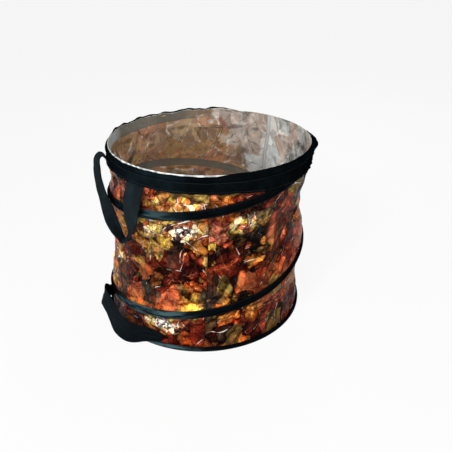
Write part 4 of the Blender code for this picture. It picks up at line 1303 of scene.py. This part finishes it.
black_webbing = webbing()
for name, start, arch in (("handle_left", LEFT_START, 1.0), ("handle_right", RIGHT_START, 0.15)):
    degrees, off, rise, twist, tip, folded = CARRY_ROUTE.T
    route = np.stack((
        start + np.radians(degrees),
        GAP + WEBBING_THICKNESS / 2 + off,
        BAND_LOW - GAP - WEBBING_THICKNESS / 2 + np.where(rise > 0, rise * arch, rise),
        np.radians(twist),
        np.radians(tip),
        WEBBING_WIDTH + (GRIP_WIDTH - WEBBING_WIDTH) * folded,
    ), axis=-1)
    make_strap(name, route, CARRY_ROOTS, False, carry_section, "rim", slack=0.3)

# Dump handle: a loop of the same webbing low on the wall, for tipping the basket out. Each end is
# gathered into pleats and sewn down just above the piping, and the middle stands open.
DUMP_START = math.radians(181)
DUMP_ROOTS = (4 / 3, 10)
DUMP_SEAM = 0.008
# Each row is degrees, stand-off, rise, twist, tip and width, rise and width in webbing widths.
DUMP_ROUTE = np.array([
    (0, 0.000, 0.20, 0, 90, 0.40),
    (5, 0.005, 0.28, 0, 90, 0.56),
    (10, 0.013, 0.44, -90, 84, 0.80),
    (16, 0.024, 0.74, -90, 74, 1.0),
    (21, 0.025, 0.74, -90, 76, 1.0),
    (27, 0.023, 0.70, -90, 75, 1.0),
    (33, 0.024, 0.58, -90, 72, 1.0),
    (41, 0.031, 0.48, -90, 70, 1.0),
    (49, 0.031, 0.44, -90, 76, 1.0),
    (56, 0.018, 0.44, -90, 90, 0.88),
    (61, 0.005, 0.32, 0, 90, 0.64),
    (65, 0.000, 0.20, 0, 90, 0.40),
])


def gathered_section(width):
    """The webbing drawn together into pleats where it is narrow, and lightly waved elsewhere."""
    s = np.linspace(-1, 1, ACROSS)[None, :]
    drawn = np.clip(1 - width[:, None] / WEBBING_WIDTH, 0, 1)
    steps = np.arange(len(width))[:, None]
    pleats = 0.0030 * drawn * np.cos(s * 8.5)
    wave = 0.0009 * noise(steps / 16, s * 2, 61) + 0.0016 * noise(steps / 34, s * 0.7, 62)
    depth = pleats + wave * ease(width[:, None], 0.024, 0.045)
    return thicken(s * width[:, None] / 2, depth, WEBBING_THICKNESS)


degrees, off, rise, twist, tip, width = DUMP_ROUTE.T
route = np.stack((
    DUMP_START + np.radians(degrees),
    GAP + WEBBING_THICKNESS / 2 + off,
    DUMP_SEAM + rise * WEBBING_WIDTH,
    np.radians(twist),
    np.radians(tip),
    width * WEBBING_WIDTH,
), axis=-1)
make_strap("dump_handle", route, DUMP_ROOTS, True, gathered_section, "base")

# View and light: the photograph's camera and the soft lamps of a white studio, most of them on the
# window's side. The floor is plain and pale, and it and the world look white.
CAMERA_PLACE = (0.020, 0.012 - 1.1515, 0.7933)
CAMERA_TURN = (math.pi / 2 - 0.489, 0, -0.031)
LENS = 42.0
WORLD_LIGHT = 0.20  # how strongly the white round the basket lights it

camera = bpy.data.cameras.new("camera")
camera.sensor_width = 36
camera.lens = LENS
camera.clip_end = 200
viewer = bpy.data.objects.new("camera", camera)
viewer.location = CAMERA_PLACE
viewer.rotation_euler = CAMERA_TURN
bpy.context.scene.collection.objects.link(viewer)
bpy.context.scene.camera = viewer


def lamp(name, spot, aim, size, watts, height=None):
    """A soft box lamp at a spot, aimed at a point."""
    light = bpy.data.lights.new(name, "AREA")
    light.shape = "RECTANGLE"
    light.size = size
    light.size_y = height or size
    light.energy = watts
    holder = bpy.data.objects.new(name, light)
    holder.location = spot
    holder.visible_camera = False
    way = np.array(aim) - np.array(spot)
    level = math.hypot(way[0], way[1])
    holder.rotation_euler = (math.atan2(level, -way[2]), 0, math.atan2(way[1], way[0]) - math.pi / 2)
    bpy.context.scene.collection.objects.link(holder)


lamp("key", (-0.9, -1.7, 1.9), (0, 0, 0.2), 0.3, 36, 0.9)
lamp("fill", (1.6, -1.2, 1.4), (0, 0, 0.2), 0.9, 4)
lamp("back", (0.6, 1.6, 1.8), (0, 0, 0.25), 0.9, 22)
lamp("strip_left", (-1.2, -1.5, 0.45), (0, 0, 0.2), 0.03, 11, 0.9)
lamp("strip_high", (-0.6, -1.6, 1.5), (0, 0, 0.2), 0.9, 14, 0.03)
lamp("strip_front", (-0.2, -1.9, 0.6), (0, 0, 0.2), 0.9, 11, 0.03)
lamp("strip_right", (1.3, -1.3, 0.6), (0, 0, 0.2), 0.03, 7, 0.8)


def seen(f):
    """1 where a background is looked at, straight or by way of gloss or glass."""
    rays = f.add("ShaderNodeLightPath", output="Is Camera Ray")
    straight = rays.then("MAXIMUM", rays.also("Is Glossy Ray"))
    return straight.then("MAXIMUM", rays.also("Is Transmission Ray"))


floor_mesh = bpy.data.meshes.new("floor")
floor_mesh.from_pydata([(-30, -30, 0), (30, -30, 0), (30, 30, 0), (-30, 30, 0)], [], [(0, 1, 2, 3)])
floor = bpy.data.objects.new("floor", floor_mesh)
bpy.context.scene.collection.objects.link(floor)
f = Finish("floor", base_color=(0.60, 0.60, 0.60), roughness=0.9, specular_ior_level=0.1)
plain = f.add("ShaderNodeEmission", {}, {"Color": (1.0, 1.0, 1.0), "Strength": 1.0})
shader = Term(f, f.shader.outputs[0])
mixed = f.add("ShaderNodeMixShader", {}, {0: seen(f) * 0.90, 1: shader, 2: plain})
f.feed(f.tree.nodes["Material Output"], "Surface", mixed)
floor_mesh.materials.append(f.material)

world = bpy.data.worlds.new("studio")
world.use_nodes = True
bpy.context.scene.world = world
f = Recipe(world.node_tree)
sky = world.node_tree.nodes["Background"]
f.feed(sky, "Color", (1.0, 1.0, 1.0))
f.feed(sky, "Strength", WORLD_LIGHT + seen(f) * (1 - WORLD_LIGHT))
bpy.context.scene.view_settings.view_transform = "Standard"
